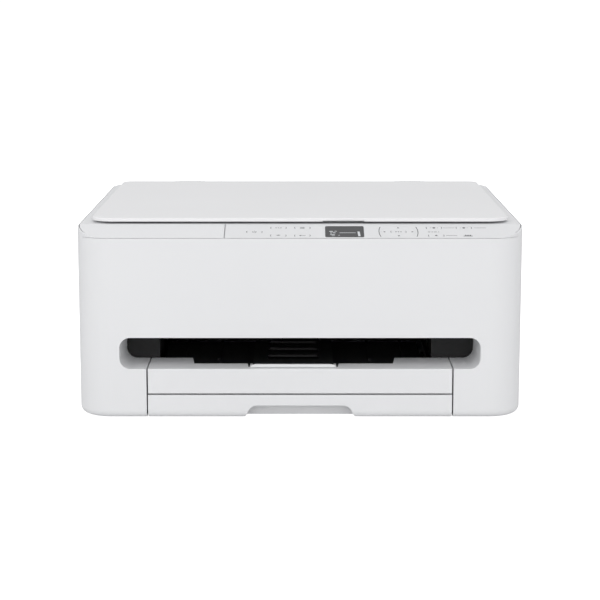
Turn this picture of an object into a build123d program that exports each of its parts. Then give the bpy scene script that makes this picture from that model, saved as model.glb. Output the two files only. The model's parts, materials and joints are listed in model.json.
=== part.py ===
from build123d import *
import os
from math import acos, atan2, cos, degrees, hypot, pi, sin, tan

# Compact inkjet multifunction: printer body, flatbed scanner on top, paper cassette below.
# Millimetres, +Z up, front faces -Y, origin at the middle of the footprint on the table.

# ---------------------------------------------------------------- driving dimensions
WIDTH = 374.0
DEPTH = 345.0
HEIGHT = 167.0
PLAN_RADIUS = 28.0          # vertical corners of the body
BASE_Z = 1.4                # underside of the shell, on its feet
SHOULDER_Z = 162.0          # flat top of the body around the document cover
CREASE_Z = 153.4            # where the front face turns into the sloped control strip
STRIP_RUN = 27.0            # control strip, front to back
WALL = 2.6
SEAM = 0.4                  # gap between fixed covers
RUN_GAP = 0.35              # gap between parts that move past each other

FRONT = -DEPTH / 2
BACK = DEPTH / 2
SIDE = WIDTH / 2
RIM = 1.2                   # side walls beside the scanner
SCANNER_HALF = SIDE - RIM - 0.7
STRIP_ANGLE = degrees(atan2(SHOULDER_Z - CREASE_Z, STRIP_RUN))

SLOT_HALF = 151.0           # paper output slot
SLOT_LOW = 43.3
SLOT_HIGH = 69.8
SLOT_RADIUS = 9.0
SLOT_DEPTH = 47.0
DRAWER_HALF = 127.6         # front panels of the output tray and the cassette
DRAWER_GAP = 1.2
TRAY_LOW = 22.1
CASSETTE_TOP = 20.9

FEED_Y, FEED_Z, FEED_R = 30.0, 60.0, 6.0
EXIT_Y, EXIT_Z, EXIT_R = -45.0, 58.0, 5.0
PAPER_LEFT, PAPER_RIGHT = -118.0, 106.0
ROD_Y, ROD_Z, ROD_R = 44.0, 84.0, 4.0
BELT_Y, BELT_Z, PULLEY_R = 54.0, 91.0, 6.0
PARK_X = 136.0              # middle of the carriage when it is parked on the right
DRIVE_X, IDLER_X = 166.0, -146.0
FRAME_LEFT, FRAME_RIGHT = -158.0, 180.0
FRAME_BACK = 64.0
SHEET = 1.5                 # steel sheet thickness

HINGE_Y, HINGE_Z, HINGE_R = 158.0, 158.0, 4.0     # scanner unit
LID_Y, LID_Z, LID_R = 151.5, 164.1, 2.8           # document cover
CORNER_X = 176.3            # the scanner's rear corners stop short outside this
REAR_SEAM_Y = 140.0
REAR_COVER = (-110.0, 90.0, 60.0, 130.0)          # x low, x high, z low, z high
REAR_HINGE_Y, REAR_HINGE_Z, REAR_HINGE_R = 169.8, 63.0, 2.4
INLET = (-163.0, -137.0, 15.0, 35.0)              # power inlet: x low, x high, z low, z high
USB = (144.0, 156.0, 25.6, 37.2)                  # square USB socket, same order

NODES = {}


# ---------------------------------------------------------------- building blocks
def block(x0, x1, y0, y1, z0, z1):
    """Box between two corners."""
    return Pos((x0 + x1) / 2, (y0 + y1) / 2, (z0 + z1) / 2) * Box(x1 - x0, y1 - y0, z1 - z0)


def rod_x(x0, x1, y, z, radius):
    """Cylinder along X."""
    return Pos((x0 + x1) / 2, y, z) * Rot(0, 90, 0) * Cylinder(radius, x1 - x0)


def rod_y(y0, y1, x, z, radius):
    """Cylinder along Y."""
    return Pos(x, (y0 + y1) / 2, z) * Rot(90, 0, 0) * Cylinder(radius, y1 - y0)


def rod_z(z0, z1, x, y, radius):
    """Cylinder along Z."""
    return Pos(x, y, (z0 + z1) / 2) * Cylinder(radius, z1 - z0)


def plan_block(inset, z0, z1, radius=None):
    """Body outline, moved in by an inset, as a prism."""
    corner = max(PLAN_RADIUS - inset, 2.0) if radius is None else radius
    outline = RectangleRounded(WIDTH - 2 * inset, DEPTH - 2 * inset, corner)
    return extrude(Pos(0, 0, z0) * outline, amount=z1 - z0)


def prism_x(points, x0, x1):
    """Polygon of (y, z) points, run along X."""
    face = make_face(Polyline([(x0, y, z) for y, z in points], close=True))
    return extrude(face, amount=x1 - x0, dir=(1, 0, 0))


def prism_y(points, y0, y1):
    """Polygon of (x, z) points, run along Y."""
    face = make_face(Polyline([(x, y0, z) for x, z in points], close=True))
    return extrude(face, amount=y1 - y0, dir=(0, 1, 0))


def prism_z(points, z0, z1):
    """Polygon of (x, y) points, run along Z."""
    face = make_face(Polyline([(x, y, z0) for x, y in points], close=True))
    return extrude(face, amount=z1 - z0, dir=(0, 0, 1))


def rounded_y(x0, x1, z0, z1, radius, y0, y1):
    """Rounded rectangle in X and Z, run along Y."""
    outline = RectangleRounded(x1 - x0, z1 - z0, radius)
    placed = Pos((x0 + x1) / 2, y0, (z0 + z1) / 2) * Rot(90, 0, 0) * outline
    return extrude(placed, amount=y1 - y0, dir=(0, 1, 0))


def rounded_z(x0, x1, y0, y1, radius, z0, z1):
    """Rounded rectangle in X and Y, run along Z."""
    outline = RectangleRounded(x1 - x0, y1 - y0, radius)
    return extrude(Pos((x0 + x1) / 2, (y0 + y1) / 2, z0) * outline, amount=z1 - z0)


STRIP = Plane(
    origin=(0, FRONT, CREASE_Z),
    x_dir=(1, 0, 0),
    z_dir=(0, -sin(STRIP_ANGLE * pi / 180), cos(STRIP_ANGLE * pi / 180)),
)


def on_strip(shape, across, up=0.0, out=0.0):
    """Place a shape on the control strip: along X, up the slope and out of its face."""
    return STRIP.location * Pos(across, up, out) * shape


def pill(length, height, low, high):
    """Rounded bar lying on the strip, between two depths."""
    outline = RectangleRounded(length, height, height / 2 - 0.01)
    return extrude(Pos(0, 0, low) * outline, amount=high - low)


def join(parts):
    """Fuse a list of overlapping solids into one."""
    whole = parts[0]
    for part in parts[1:]:
        whole = whole + part
    return whole


# ---------------------------------------------------------------- outer form of the body
BOTTOM_EDGE = 6.0
TOP_EDGE = 2.0
OUTER = plan_block(0, BASE_Z, SHOULDER_Z)
OUTER = fillet(OUTER.faces().sort_by(Axis.Z)[0].edges(), BOTTOM_EDGE)
OUTER = fillet(OUTER.faces().sort_by(Axis.Z)[-1].edges(), TOP_EDGE)
SLOPE_CUT = prism_x(
    [
        (FRONT - 5, CREASE_Z - 5 * tan(STRIP_ANGLE * pi / 180)),
        (FRONT + STRIP_RUN, SHOULDER_Z),
        (FRONT + STRIP_RUN, SHOULDER_Z + 5),
        (FRONT - 5, SHOULDER_Z + 5),
    ],
    -SIDE - 5,
    SIDE + 5,
)
OUTER = OUTER - SLOPE_CUT
FLANGE = 14.0               # width of the shell's bottom edge, turned inwards
HOLLOW = plan_block(WALL, BASE_Z + 2.0, SHOULDER_Z + 20) + plan_block(FLANGE, -5, SHOULDER_Z + 20)


# ---------------------------------------------------------------- fixed covers
RIM_FRONT_Y = -161.5        # the rim ends here, at the front corners
DRAWER_OPEN = DRAWER_HALF + DRAWER_GAP


def slot_sleeve(grow, y_end):
    """Output slot from the front face inwards, narrowing a little with depth."""
    narrowing = 2.0 * (y_end - FRONT) / SLOT_DEPTH
    mouths = []
    for y, half in ((FRONT, SLOT_HALF), (y_end, SLOT_HALF - narrowing)):
        size_x = 2 * (half + grow)
        size_z = SLOT_HIGH - SLOT_LOW + 2 * grow
        outline = RectangleRounded(size_x, size_z, SLOT_RADIUS + grow)
        mouths.append(Pos(0, y, (SLOT_LOW + SLOT_HIGH) / 2) * Rot(90, 0, 0) * outline)
    return loft(mouths)


def body_shell():
    """Front and sides in one moulding, with the output slot's sleeve."""
    front_part = block(-SIDE, SIDE, FRONT - 1, REAR_SEAM_Y - SEAM / 2, 0, SHOULDER_Z + 1)
    shell = (OUTER & front_part) - HOLLOW
    shell = shell + slot_sleeve(2.0, FRONT + SLOT_DEPTH)
    shell = shell - slot_sleeve(0.0, FRONT + SLOT_DEPTH)
    shell = shell - plan_block(RIM, CREASE_Z, SHOULDER_Z + 5)
    shell = shell - block(-SIDE, SIDE, FRONT - 1, RIM_FRONT_Y + 0.3, CREASE_Z, SHOULDER_Z + 5)
    drawer_way = block(-DRAWER_OPEN, DRAWER_OPEN, FRONT - 1, -110, -5, SLOT_LOW + 4)
    shell = shell - drawer_way
    slot_end = FRONT + SLOT_DEPTH
    for side in (-1, 1):
        cheek_x = sorted((side * DRAWER_OPEN, side * (DRAWER_OPEN + 2.2)))
        shell = shell + block(*cheek_x, FRONT + 1, slot_end, BASE_Z + 4.2, SLOT_LOW - 1)
    return shell


def socket_cuts():
    """Openings in the rear panel for the power inlet and the USB socket."""
    cuts = []
    for x0, x1, z0, z1 in (INLET, USB):
        cuts.append(block(x0 - 0.6, x1 + 0.6, BACK - 8, BACK + 1, z0 - 0.6, z1 + 0.6))
    return cuts


def rear_panel():
    """Back wall with both rear corners and the fixed strip behind the scanner."""
    strip_front = HINGE_Y + HINGE_R + SEAM
    panel = OUTER & block(-SIDE, SIDE, REAR_SEAM_Y + SEAM / 2, BACK + 1, 0, SHOULDER_Z + 1)
    panel = panel - (HOLLOW & block(-SIDE, SIDE, FRONT, BACK, -5, SHOULDER_Z - 2.6))
    above = plan_block(RIM, CREASE_Z, SHOULDER_Z + 5) & block(-SIDE, SIDE, 0, strip_front, 0, 200)
    for side in (-1, 1):
        corner_x = sorted((side * (CORNER_X + SEAM), side * SIDE))
        above = above - block(*corner_x, HINGE_Y - 3.4, BACK, 0, 200)
    panel = panel - above
    x0, x1, z0, z1 = REAR_COVER
    panel = panel - block(x0, x1, BACK - 8, BACK + 1, z0, z1)
    for cut in socket_cuts():
        panel = panel - cut
    for x in (-132.0, 132.0):
        arm = block(x - 2.5, x + 2.5, HINGE_Y, BACK - 1, HINGE_Z - 2.5, HINGE_Z + 1.5)
        lug = arm + rod_x(x - 2.5, x + 2.5, HINGE_Y, HINGE_Z, 3.4)
        panel = panel + (lug - rod_x(x - 4, x + 4, HINGE_Y, HINGE_Z, 1.56))
    for x, inner in ((x0, x0 + 4.2), (x1, x1 - 4.2)):
        ends = sorted((x, inner))
        lug = block(*ends, REAR_HINGE_Y - 8, REAR_HINGE_Y - 2.0, z0 - 2, REAR_HINGE_Z + 3)
        lug = lug + rod_x(*ends, REAR_HINGE_Y, REAR_HINGE_Z, 2.3)
        lug = lug + block(*ends, REAR_HINGE_Y - 8, REAR_HINGE_Y, z0 - 2, REAR_HINGE_Z + 2.0)
        lug = lug + block(*ends, REAR_HINGE_Y - 8, BACK - 0.6, z0 - 2, z0 + 0.4)
        panel = panel + (lug - rod_x(ends[0] - 1, ends[1] + 1, REAR_HINGE_Y, REAR_HINGE_Z, 1.26))
    return panel


def rear_cover():
    """Jam-clearing door in the back, hinged on stub pins along its lower edge."""
    x0, x1, z0, z1 = REAR_COVER
    x0 += 4.7
    x1 -= 4.7
    plate = block(x0, x1, BACK - 2.4, BACK, REAR_HINGE_Z, z1 - 0.5)
    plate = plate + block(x0 - 4.2, x1 + 4.2, BACK - 2.4, BACK, REAR_HINGE_Z + 4.6, z1 - 0.5)
    top_edges = plate.edges().filter_by(Axis.X).group_by(Axis.Y)[-1].sort_by(Axis.Z)[-1:]
    plate = fillet(top_edges, 1.0)
    plate = plate + rod_x(x0, x1, REAR_HINGE_Y, REAR_HINGE_Z, REAR_HINGE_R)
    for x in (x0 + 12, (x0 + x1) / 2, x1 - 12):
        rib = prism_x(
            [(BACK - 2, 68), (BACK - 2, 122), (BACK - 7, 118), (BACK - 7, 72)],
            x - 1.0,
            x + 1.0,
        )
        plate = plate + rib
    plate = plate + block(-30, 10, BACK - 8, BACK - 2, 112, 126)
    plate = plate - block(-28, 8, BACK - 6.2, BACK + 1, 113.5, 124.5)
    stubs = rod_x(x0 - 4.0, x1 + 4.0, REAR_HINGE_Y, REAR_HINGE_Z, 1.2)
    return plate + stubs


def base_tray():
    """Floor of the printer, with guide rails for the cassette."""
    floor = plan_block(FLANGE + 0.2, BASE_Z, BASE_Z + 2.0)
    lip = plan_block(FLANGE - 6, BASE_Z + 2.0, BASE_Z + 4.0)
    lip = lip - plan_block(FLANGE + 14, 0, 20)
    tray = floor + lip
    tray = tray - block(-DRAWER_OPEN, DRAWER_OPEN, FRONT, -152, -5, 20)
    tray = tray - block(-DRAWER_OPEN, DRAWER_OPEN, FRONT, 148, BASE_Z + 2.0, 20)
    for side in (-1, 1):
        rail_x = sorted((side * (DRAWER_HALF - 1.4), side * (DRAWER_HALF + 2.4)))
        tray = tray + block(*rail_x, -120, 146, BASE_Z + 1.0, 16)
    for x in (137.0, 168.0):
        for y in (78.0, 150.0):
            tray = tray + rod_z(BASE_Z + 1, 24, x, y, 2.6)
    return tray


def rubber_feet():
    """Four pads under the corners."""
    feet = []
    for x in (-150.0, 150.0):
        for y in (-137.0, 137.0):
            foot = Pos(x, y, BASE_Z / 2) * Cylinder(9.0, BASE_Z)
            feet.append(foot)
    return Compound(children=feet)


def slot_bezel():
    """Dark inner frame at the end of the output slot."""
    y0 = FRONT + SLOT_DEPTH + 0.3
    y1 = y0 + 40
    frame = rounded_y(-148.6, 148.6, SLOT_LOW + 0.3, SLOT_HIGH + 1.8, SLOT_RADIUS, y0, y1)
    frame = frame - block(PAPER_LEFT - 2.7, PAPER_RIGHT + 7, y0 - 1, y1 + 1, 30, SLOT_HIGH)
    for x0, x1 in ((-146.6, PAPER_LEFT - 4.7), (PAPER_RIGHT + 9, 146.6)):
        frame = frame - block(x0, x1, y0 + 2, y1 + 1, SLOT_LOW + 2.3, SLOT_HIGH - 0.2)
    return frame


NODES["body_shell"] = body_shell()
NODES["rear_panel"] = rear_panel()
NODES["rear_cover"] = rear_cover()
NODES["base_tray"] = base_tray()
NODES["rubber_feet"] = rubber_feet()
NODES["slot_bezel"] = slot_bezel()


# ---------------------------------------------------------------- paper output tray
TRAY_DEEP = FRONT + SLOT_DEPTH - 0.3
LEDGE = 2.4                 # top of the output tray's front
NOTCH_LEFT, NOTCH_RIGHT = -89.7, 78.9
NOTCH_Y = FRONT + 22.5
TAB_LEFT, TAB_RIGHT = -41.7, 30.1
TAB_Y = FRONT + 5.6
PLATE_LOW, PLATE_HIGH = 38.0, 40.6


def output_front():
    """Front of the output tray: a hollow box whose top is the ledge in the slot."""
    shell = block(-DRAWER_HALF, DRAWER_HALF, FRONT, TRAY_DEEP, TRAY_LOW, SLOT_LOW)
    shell = fillet(shell.faces().sort_by(Axis.Y)[0].edges(), 0.9)
    inner = DRAWER_HALF - LEDGE
    shell = shell - block(-inner, inner, FRONT + LEDGE, TRAY_DEEP + 1, 0, SLOT_LOW - LEDGE)
    notch = [
        (NOTCH_LEFT, NOTCH_Y),
        (NOTCH_RIGHT, NOTCH_Y),
        (NOTCH_RIGHT + 2.6, TRAY_DEEP + 1),
        (NOTCH_LEFT - 2.6, TRAY_DEEP + 1),
    ]
    shell = shell - prism_z(notch, SLOT_LOW - LEDGE - 1, SLOT_LOW + 1)
    for x, lean in ((TAB_LEFT - 1.2, -1.0), (TAB_RIGHT + 1.2, 1.0)):
        vee = [
            (x - 0.5, TAB_Y + 3.5),
            (x + 0.5, TAB_Y + 3.5),
            (x + 1.2 + lean * 0.4, NOTCH_Y + 1),
            (x - 1.2 + lean * 0.4, NOTCH_Y + 1),
        ]
        shell = shell - prism_z(vee, SLOT_LOW - LEDGE - 1, SLOT_LOW + 1)
    return shell


def output_tray():
    """Dark sheet that the printed pages land on, with low ribs along the paper's way."""
    plate = block(PAPER_LEFT + 1, PAPER_RIGHT - 1, FRONT + 3, -42, PLATE_LOW, PLATE_HIGH)
    for x in (-100.0, -70.0, 60.0, 90.0):
        rib_end = PLATE_HIGH + 1.4
        plate = plate + block(x - 1, x + 1, TRAY_DEEP + 2, -44, PLATE_LOW, rib_end)
    for x in (PAPER_LEFT + 2, PAPER_RIGHT - 2):
        plate = plate + block(x - 1, x + 1, FRONT + 6, -44, 30, PLATE_LOW + 1)
    return plate


def output_support():
    """Pull-out stop for long sheets: a thin plate with an upturned lip in front."""
    low = SLOT_LOW + 0.35
    plate = block(TAB_LEFT + 2, TAB_RIGHT - 2, TAB_Y + 1, -62, low, low + 1.8)
    lip = [
        (TAB_LEFT, low),
        (TAB_RIGHT, low),
        (TAB_RIGHT - 0.4, low + 1.6),
        (TAB_RIGHT - 4.5, low + 2.5),
        (TAB_LEFT + 4.5, low + 2.5),
        (TAB_LEFT + 0.4, low + 1.6),
    ]
    support = plate + prism_y(lip, TAB_Y, TAB_Y + 1.8)
    for y in (-140.0, -110.0, -80.0):
        window = rounded_z(TAB_LEFT + 14, TAB_RIGHT - 14, y, y + 16, 3, low - 1, low + 5)
        support = support - window
    return support


# ---------------------------------------------------------------- paper cassette
CASSETTE_HALF = 124.0
CASSETTE_FLOOR = 4.4
CASSETTE_BACK = 144.5
CASSETTE_JOIN = FRONT + 16.5
GRIP_TOP = 12.0


def grip_outline():
    """Finger recess under the cassette's front, wider towards the floor."""
    corners = [(-48.0, -2.0), (48.0, -2.0), (41.0, GRIP_TOP), (-41.0, GRIP_TOP)]
    face = make_face(Polyline([(x, 0, z) for x, z in corners], close=True))
    return fillet(face.vertices().sort_by(Axis.Z)[-2:], 8.0)


def grip_prism(grow, y0, y1):
    """Finger recess run along Y, grown all round."""
    outline = grip_outline()
    if grow:
        outline = offset(outline, amount=grow)
    return extrude(Pos(0, y0, 0) * outline, amount=y1 - y0, dir=(0, 1, 0))


def cassette_front():
    """Front panel of the cassette with its finger recess."""
    panel = block(-DRAWER_HALF, DRAWER_HALF, FRONT, CASSETTE_JOIN, BASE_Z, CASSETTE_TOP)
    front_face = panel.faces().sort_by(Axis.Y)[0]
    lowest = front_face.edges().sort_by(Axis.Z)[0]
    panel = fillet([lowest], BOTTOM_EDGE)
    highest = panel.edges().filter_by(Axis.X).group_by(Axis.Y)[0].sort_by(Axis.Z)[-1]
    panel = fillet([highest], 0.9)
    inner = DRAWER_HALF - 2.4
    hollow = block(-inner, inner, FRONT + 2.4, CASSETTE_JOIN - 2, BASE_Z + 5, CASSETTE_TOP - 2)
    hollow = hollow - grip_prism(2.2, FRONT, CASSETTE_JOIN)
    panel = panel - hollow
    return panel - grip_prism(0.0, FRONT - 1, FRONT + 14)


def cassette_tray():
    """Tray that holds the plain paper, open at the top, low at the back."""
    y0 = CASSETTE_JOIN
    tray = block(-CASSETTE_HALF, CASSETTE_HALF, y0, CASSETTE_BACK, CASSETTE_FLOOR, 20.6)
    inner = CASSETTE_HALF - 2.0
    tray = tray - block(-inner, inner, y0 + 2, CASSETTE_BACK - 2, CASSETTE_FLOOR + 2, 30)
    tray = tray - block(-inner, inner, CASSETTE_BACK - 10, CASSETTE_BACK + 1, 12, 30)
    for y in (5.0, 45.0):
        for x in (-75.0, 75.0):
            tray = tray - block(x - 30, x + 30, y - 2, y + 2, 0, 10)
    tray = tray - block(-2, 2, 60, 130, 0, 10)
    return tray


GUIDE_LOW = CASSETTE_FLOOR + 2.3
GUIDE_X = 108.8             # guides set for letter and A4 sheets


def paper_guide(side):
    """Side guide: an upright fence on a foot."""
    fence_x = sorted((side * GUIDE_X, side * (GUIDE_X + 1.8)))
    foot_x = sorted((side * (GUIDE_X + 11), side * (GUIDE_X - 16)))
    fence = block(*fence_x, -15, 65, GUIDE_LOW, 18.5)
    foot = block(*foot_x, 15, 35, GUIDE_LOW, GUIDE_LOW + 1.4)
    lug_x = sorted((side * (GUIDE_X + 5.6), side * (GUIDE_X + 8.0)))
    lug = block(*lug_x, 18, 32, GUIDE_LOW, 16)
    return fence + foot + lug


def paper_guide_rear():
    """Tail stop for the paper, low enough to pass under the pick-up roller."""
    fence = block(-16, 16, 139.4, 141.2, GUIDE_LOW, 11.8)
    return fence + block(-9, 9, 122, 141.2, GUIDE_LOW, GUIDE_LOW + 1.4)


NODES["output_front"] = output_front()
NODES["output_tray"] = output_tray()
NODES["output_support"] = output_support()
NODES["cassette_front"] = cassette_front()
NODES["cassette_tray"] = cassette_tray()
NODES["paper_guide_left"] = paper_guide(-1)
NODES["paper_guide_right"] = paper_guide(1)
NODES["paper_guide_rear"] = paper_guide_rear()


# ---------------------------------------------------------------- gears
MODULE = 1.0
PRESSURE = 20.0 * pi / 180
GEAR_LEFT, GEAR_RIGHT = -170.0, -162.0
TOOTH_PLAY = 0.12           # thinning of each tooth at the pitch circle


def involute_roll(radius, base):
    """Involute function of the pressure angle at a radius."""
    angle = acos(min(1.0, base / radius))
    return tan(angle) - angle


def gear_points(teeth, phase):
    """Outline of an involute spur gear, with a tooth centred on the phase angle."""
    pitch = MODULE * teeth / 2
    base = pitch * cos(PRESSURE)
    tip = pitch + MODULE
    root = pitch - 1.25 * MODULE
    half_tooth = (pi * MODULE / 2 - TOOTH_PLAY) / (2 * pitch)
    start = max(base, root)
    points = []
    for tooth in range(teeth):
        middle = phase + 2 * pi * tooth / teeth
        flank = []
        for step in range(5):
            radius = start + (tip - start) * step / 4
            turn = involute_roll(pitch, base) - involute_roll(radius, base)
            flank.append((radius, half_tooth + turn))
        if start > root + 0.02:
            flank.insert(0, (root, flank[0][1]))
        for radius, offset_angle in flank:
            angle = middle - offset_angle
            points.append((radius * cos(angle), radius * sin(angle)))
        for radius, offset_angle in reversed(flank):
            angle = middle + offset_angle
            points.append((radius * cos(angle), radius * sin(angle)))
    return points


def spur_gear(teeth, y, z, phase, bore, hub):
    """Gear about an X axis: angles run from +Y towards +Z."""
    outline = [(y + p, z + q) for p, q in gear_points(teeth, phase)]
    gear = prism_x(outline, GEAR_LEFT, GEAR_RIGHT)
    gear = gear + rod_x(GEAR_LEFT - 1, GEAR_RIGHT + 3.0, y, z, hub)
    return gear - rod_x(GEAR_LEFT - 3, GEAR_RIGHT + 5, y, z, bore)


def meshing_phase(teeth, place, other_teeth, other_place, other_phase):
    """Phase that puts a gap of this gear on a tooth of the other gear."""
    bearing = atan2(place[1] - other_place[1], place[0] - other_place[0])
    other_share = (bearing - other_phase) * other_teeth / (2 * pi)
    share = 0.5 - other_share
    return bearing + pi - share * 2 * pi / teeth


FEED_TEETH, TRANSFER_TEETH, EXIT_TEETH, PINION_TEETH = 32, 43, 32, 12
FEED_AT = (FEED_Y, FEED_Z)
EXIT_AT = (EXIT_Y, EXIT_Z)
TRANSFER_AT = ((FEED_Y + EXIT_Y) / 2, (FEED_Z + EXIT_Z) / 2)
PINION_REACH = MODULE * (FEED_TEETH + PINION_TEETH) / 2 + 0.03
PINION_BEARING = -40.0 * pi / 180
PINION_AT = (
    FEED_Y + PINION_REACH * cos(PINION_BEARING),
    FEED_Z + PINION_REACH * sin(PINION_BEARING),
)
TRANSFER_PHASE = meshing_phase(TRANSFER_TEETH, TRANSFER_AT, FEED_TEETH, FEED_AT, 0.0)
EXIT_PHASE = meshing_phase(EXIT_TEETH, EXIT_AT, TRANSFER_TEETH, TRANSFER_AT, TRANSFER_PHASE)
PINION_PHASE = meshing_phase(PINION_TEETH, PINION_AT, FEED_TEETH, FEED_AT, 0.0)
PIN_R = 2.0
MOTOR_SHAFT_R = 1.2

NODES["feed_gear"] = spur_gear(FEED_TEETH, *FEED_AT, 0.0, 3.0, 6.0)
NODES["transfer_gear"] = spur_gear(TRANSFER_TEETH, *TRANSFER_AT, TRANSFER_PHASE, PIN_R + 0.05, 5.0)
NODES["exit_gear"] = spur_gear(EXIT_TEETH, *EXIT_AT, EXIT_PHASE, 2.5, 5.0)
pinion_teeth = gear_points(PINION_TEETH, PINION_PHASE)
pinion_outline = [(PINION_AT[0] + p, PINION_AT[1] + q) for p, q in pinion_teeth]
pinion_shaft = rod_x(GEAR_LEFT - 1, -148, *PINION_AT, MOTOR_SHAFT_R)
NODES["motor_pinion"] = prism_x(pinion_outline, GEAR_LEFT, GEAR_RIGHT) + pinion_shaft


# ---------------------------------------------------------------- rollers and their holders
STAR_Z = EXIT_Z + EXIT_R + 0.3 + 4.0
PINCH_Z = FEED_Z + FEED_R + 0.3 + 4.0
ROLLER_STEP = 28.0
ROLLER_XS = [PAPER_LEFT + 18 + ROLLER_STEP * i for i in range(8)]
PINCH_XS = [PAPER_LEFT + 28 + 2 * ROLLER_STEP * i for i in range(4)]
LUG_XS = [PAPER_LEFT + 4 + 2 * ROLLER_STEP * i for i in range(4)] + [PAPER_RIGHT - 3]
AXLE_LEFT = GEAR_LEFT - 3.5
AXLE_RIGHT = FRAME_RIGHT - 0.4
INNER_LEFT = FRAME_LEFT + SHEET + 0.1
INNER_RIGHT = FRAME_RIGHT - SHEET - 0.1


def feed_roller():
    """Main paper roller with its shaft."""
    core = rod_x(PAPER_LEFT, PAPER_RIGHT, FEED_Y, FEED_Z, FEED_R)
    return core + rod_x(AXLE_LEFT, AXLE_RIGHT, FEED_Y, FEED_Z, 3.0)


def exit_roller():
    """Shaft with eight small rollers that push the sheet out."""
    parts = [rod_x(AXLE_LEFT, AXLE_RIGHT, EXIT_Y, EXIT_Z, 2.5)]
    for x in ROLLER_XS:
        parts.append(rod_x(x - 6, x + 6, EXIT_Y, EXIT_Z, EXIT_R))
    return join(parts)


def pinch_rollers():
    """Four long free rollers above the feed roller, on one thin shaft."""
    parts = [rod_x(PAPER_LEFT + 1, PAPER_RIGHT + 1, FEED_Y, PINCH_Z, 1.2)]
    for x in PINCH_XS:
        parts.append(rod_x(x - 19, x + 19, FEED_Y, PINCH_Z, 4.0))
    return join(parts)


def star_wheels():
    """Spiked steel wheels that hold the wet sheet down."""
    shaft = rod_x(PAPER_LEFT + 1, PAPER_RIGHT + 1, EXIT_Y, STAR_Z, 0.9)
    parts = [shaft]
    for x in ROLLER_XS:
        star = []
        for spike in range(24):
            radius = 4.0 if spike % 2 == 0 else 3.1
            angle = 2 * pi * spike / 24
            star.append((EXIT_Y + radius * cos(angle), STAR_Z + radius * sin(angle)))
        parts.append(prism_x(star, x - 0.6, x + 0.6))
        parts.append(rod_x(x - 2.5, x + 2.5, EXIT_Y, STAR_Z, 2.2))
    return join(parts)


def upper_guides():
    """Two bars across the paper path that carry the pinch rollers and the star wheels."""
    pinch = [block(INNER_LEFT, INNER_RIGHT, FEED_Y - 5, FEED_Y + 5, 75.2, 78)]
    star = [block(INNER_LEFT, INNER_RIGHT, EXIT_Y - 5, EXIT_Y + 5, 72.6, 75.2)]
    for x in LUG_XS:
        lug = block(x - 1.5, x + 1.5, FEED_Y - 2.6, FEED_Y + 2.6, 68.0, 76)
        pinch.append(lug)
        star.append(block(x - 1.5, x + 1.5, EXIT_Y - 2.2, EXIT_Y + 2.2, 65.2, 73))
    pinch_bar = join(pinch) - rod_x(PAPER_LEFT - 2, PAPER_RIGHT + 2, FEED_Y, PINCH_Z, 1.26)
    star_bar = join(star) - rod_x(PAPER_LEFT - 2, PAPER_RIGHT + 2, EXIT_Y, STAR_Z, 0.96)
    return Compound(children=[pinch_bar, star_bar])


def print_platen():
    """Ribbed bridge that the sheet lies on under the print head."""
    deck = block(INNER_LEFT, PAPER_RIGHT + 1.8, -37, 21, 57, 62.8)
    deck = deck - block(PAPER_LEFT + 6, PAPER_RIGHT - 6, -22, 8, 59.0, 70)
    ribs = []
    for x in range(int(PAPER_LEFT) + 10, int(PAPER_RIGHT) - 4, 12):
        ribs.append(block(x - 0.8, x + 0.8, -36, 20, 58, 64.2))
    apron = block(PAPER_LEFT, PAPER_RIGHT, -37, -34.5, 46, 58)
    return join([deck, apron] + ribs)


NODES["feed_roller"] = feed_roller()
NODES["exit_roller"] = exit_roller()
NODES["pinch_rollers"] = pinch_rollers()
NODES["star_wheels"] = star_wheels()
NODES["upper_guides"] = upper_guides()
NODES["print_platen"] = print_platen()


# ---------------------------------------------------------------- steel frame and paper pick-up
PICK_Y, PICK_Z = 50.0, 42.0
PICK_ROLLER_Y, PICK_ROLLER_Z, PICK_ROLLER_R = 92.0, 24.6, 11.0
PICK_LUGS = (-68.0, 48.0)


def main_frame():
    """Folded steel frame: back plate with a top flange, two side plates, pivots."""
    plate_front = FRAME_BACK
    plate_back = FRAME_BACK + SHEET
    back = block(FRAME_LEFT, FRAME_RIGHT, plate_front, plate_back, 70, 120)
    flange = block(FRAME_LEFT, FRAME_RIGHT, 48, plate_back, 120 - SHEET, 120)
    frame = back + flange
    for x in (FRAME_LEFT, FRAME_RIGHT - SHEET):
        cheek = block(x, x + SHEET, -60, plate_back, 38, 120)
        cheek = cheek - block(x - 1, x + SHEET + 1, -70, 20, 96, 125)
        frame = frame + cheek
    for x in PICK_LUGS:
        frame = frame + block(x - SHEET / 2, x + SHEET / 2, PICK_Y - 6, plate_back, PICK_Z - 6, 72)
    far_left, far_right = FRAME_LEFT - 1, FRAME_RIGHT + 1
    frame = frame - rod_x(far_left, far_right, FEED_Y, FEED_Z, 3.06)
    frame = frame - rod_x(far_left, far_right, EXIT_Y, EXIT_Z, 2.56)
    frame = frame - rod_x(far_left, far_right, ROD_Y, ROD_Z, ROD_R)
    frame = frame - rod_x(far_left, FRAME_LEFT + 3, *PINION_AT, MOTOR_SHAFT_R + 0.8)
    frame = frame - rod_x(PICK_LUGS[0] - 2, PICK_LUGS[1] + 2, PICK_Y, PICK_Z, 2.56)
    frame = frame - rod_y(plate_front - 1, plate_back + 1, DRIVE_X, BELT_Z, 3.0)
    frame = frame + rod_x(GEAR_LEFT - 2, FRAME_LEFT + 1, *TRANSFER_AT, PIN_R)
    frame = frame + rod_y(BELT_Y - 4, plate_front + 1, IDLER_X, BELT_Z, 1.5)
    for x in range(-120, 140, 40):
        frame = frame - rounded_y(x - 12, x + 12, 104, 114, 4, plate_front - 1, plate_back + 1)
    return frame


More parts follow.
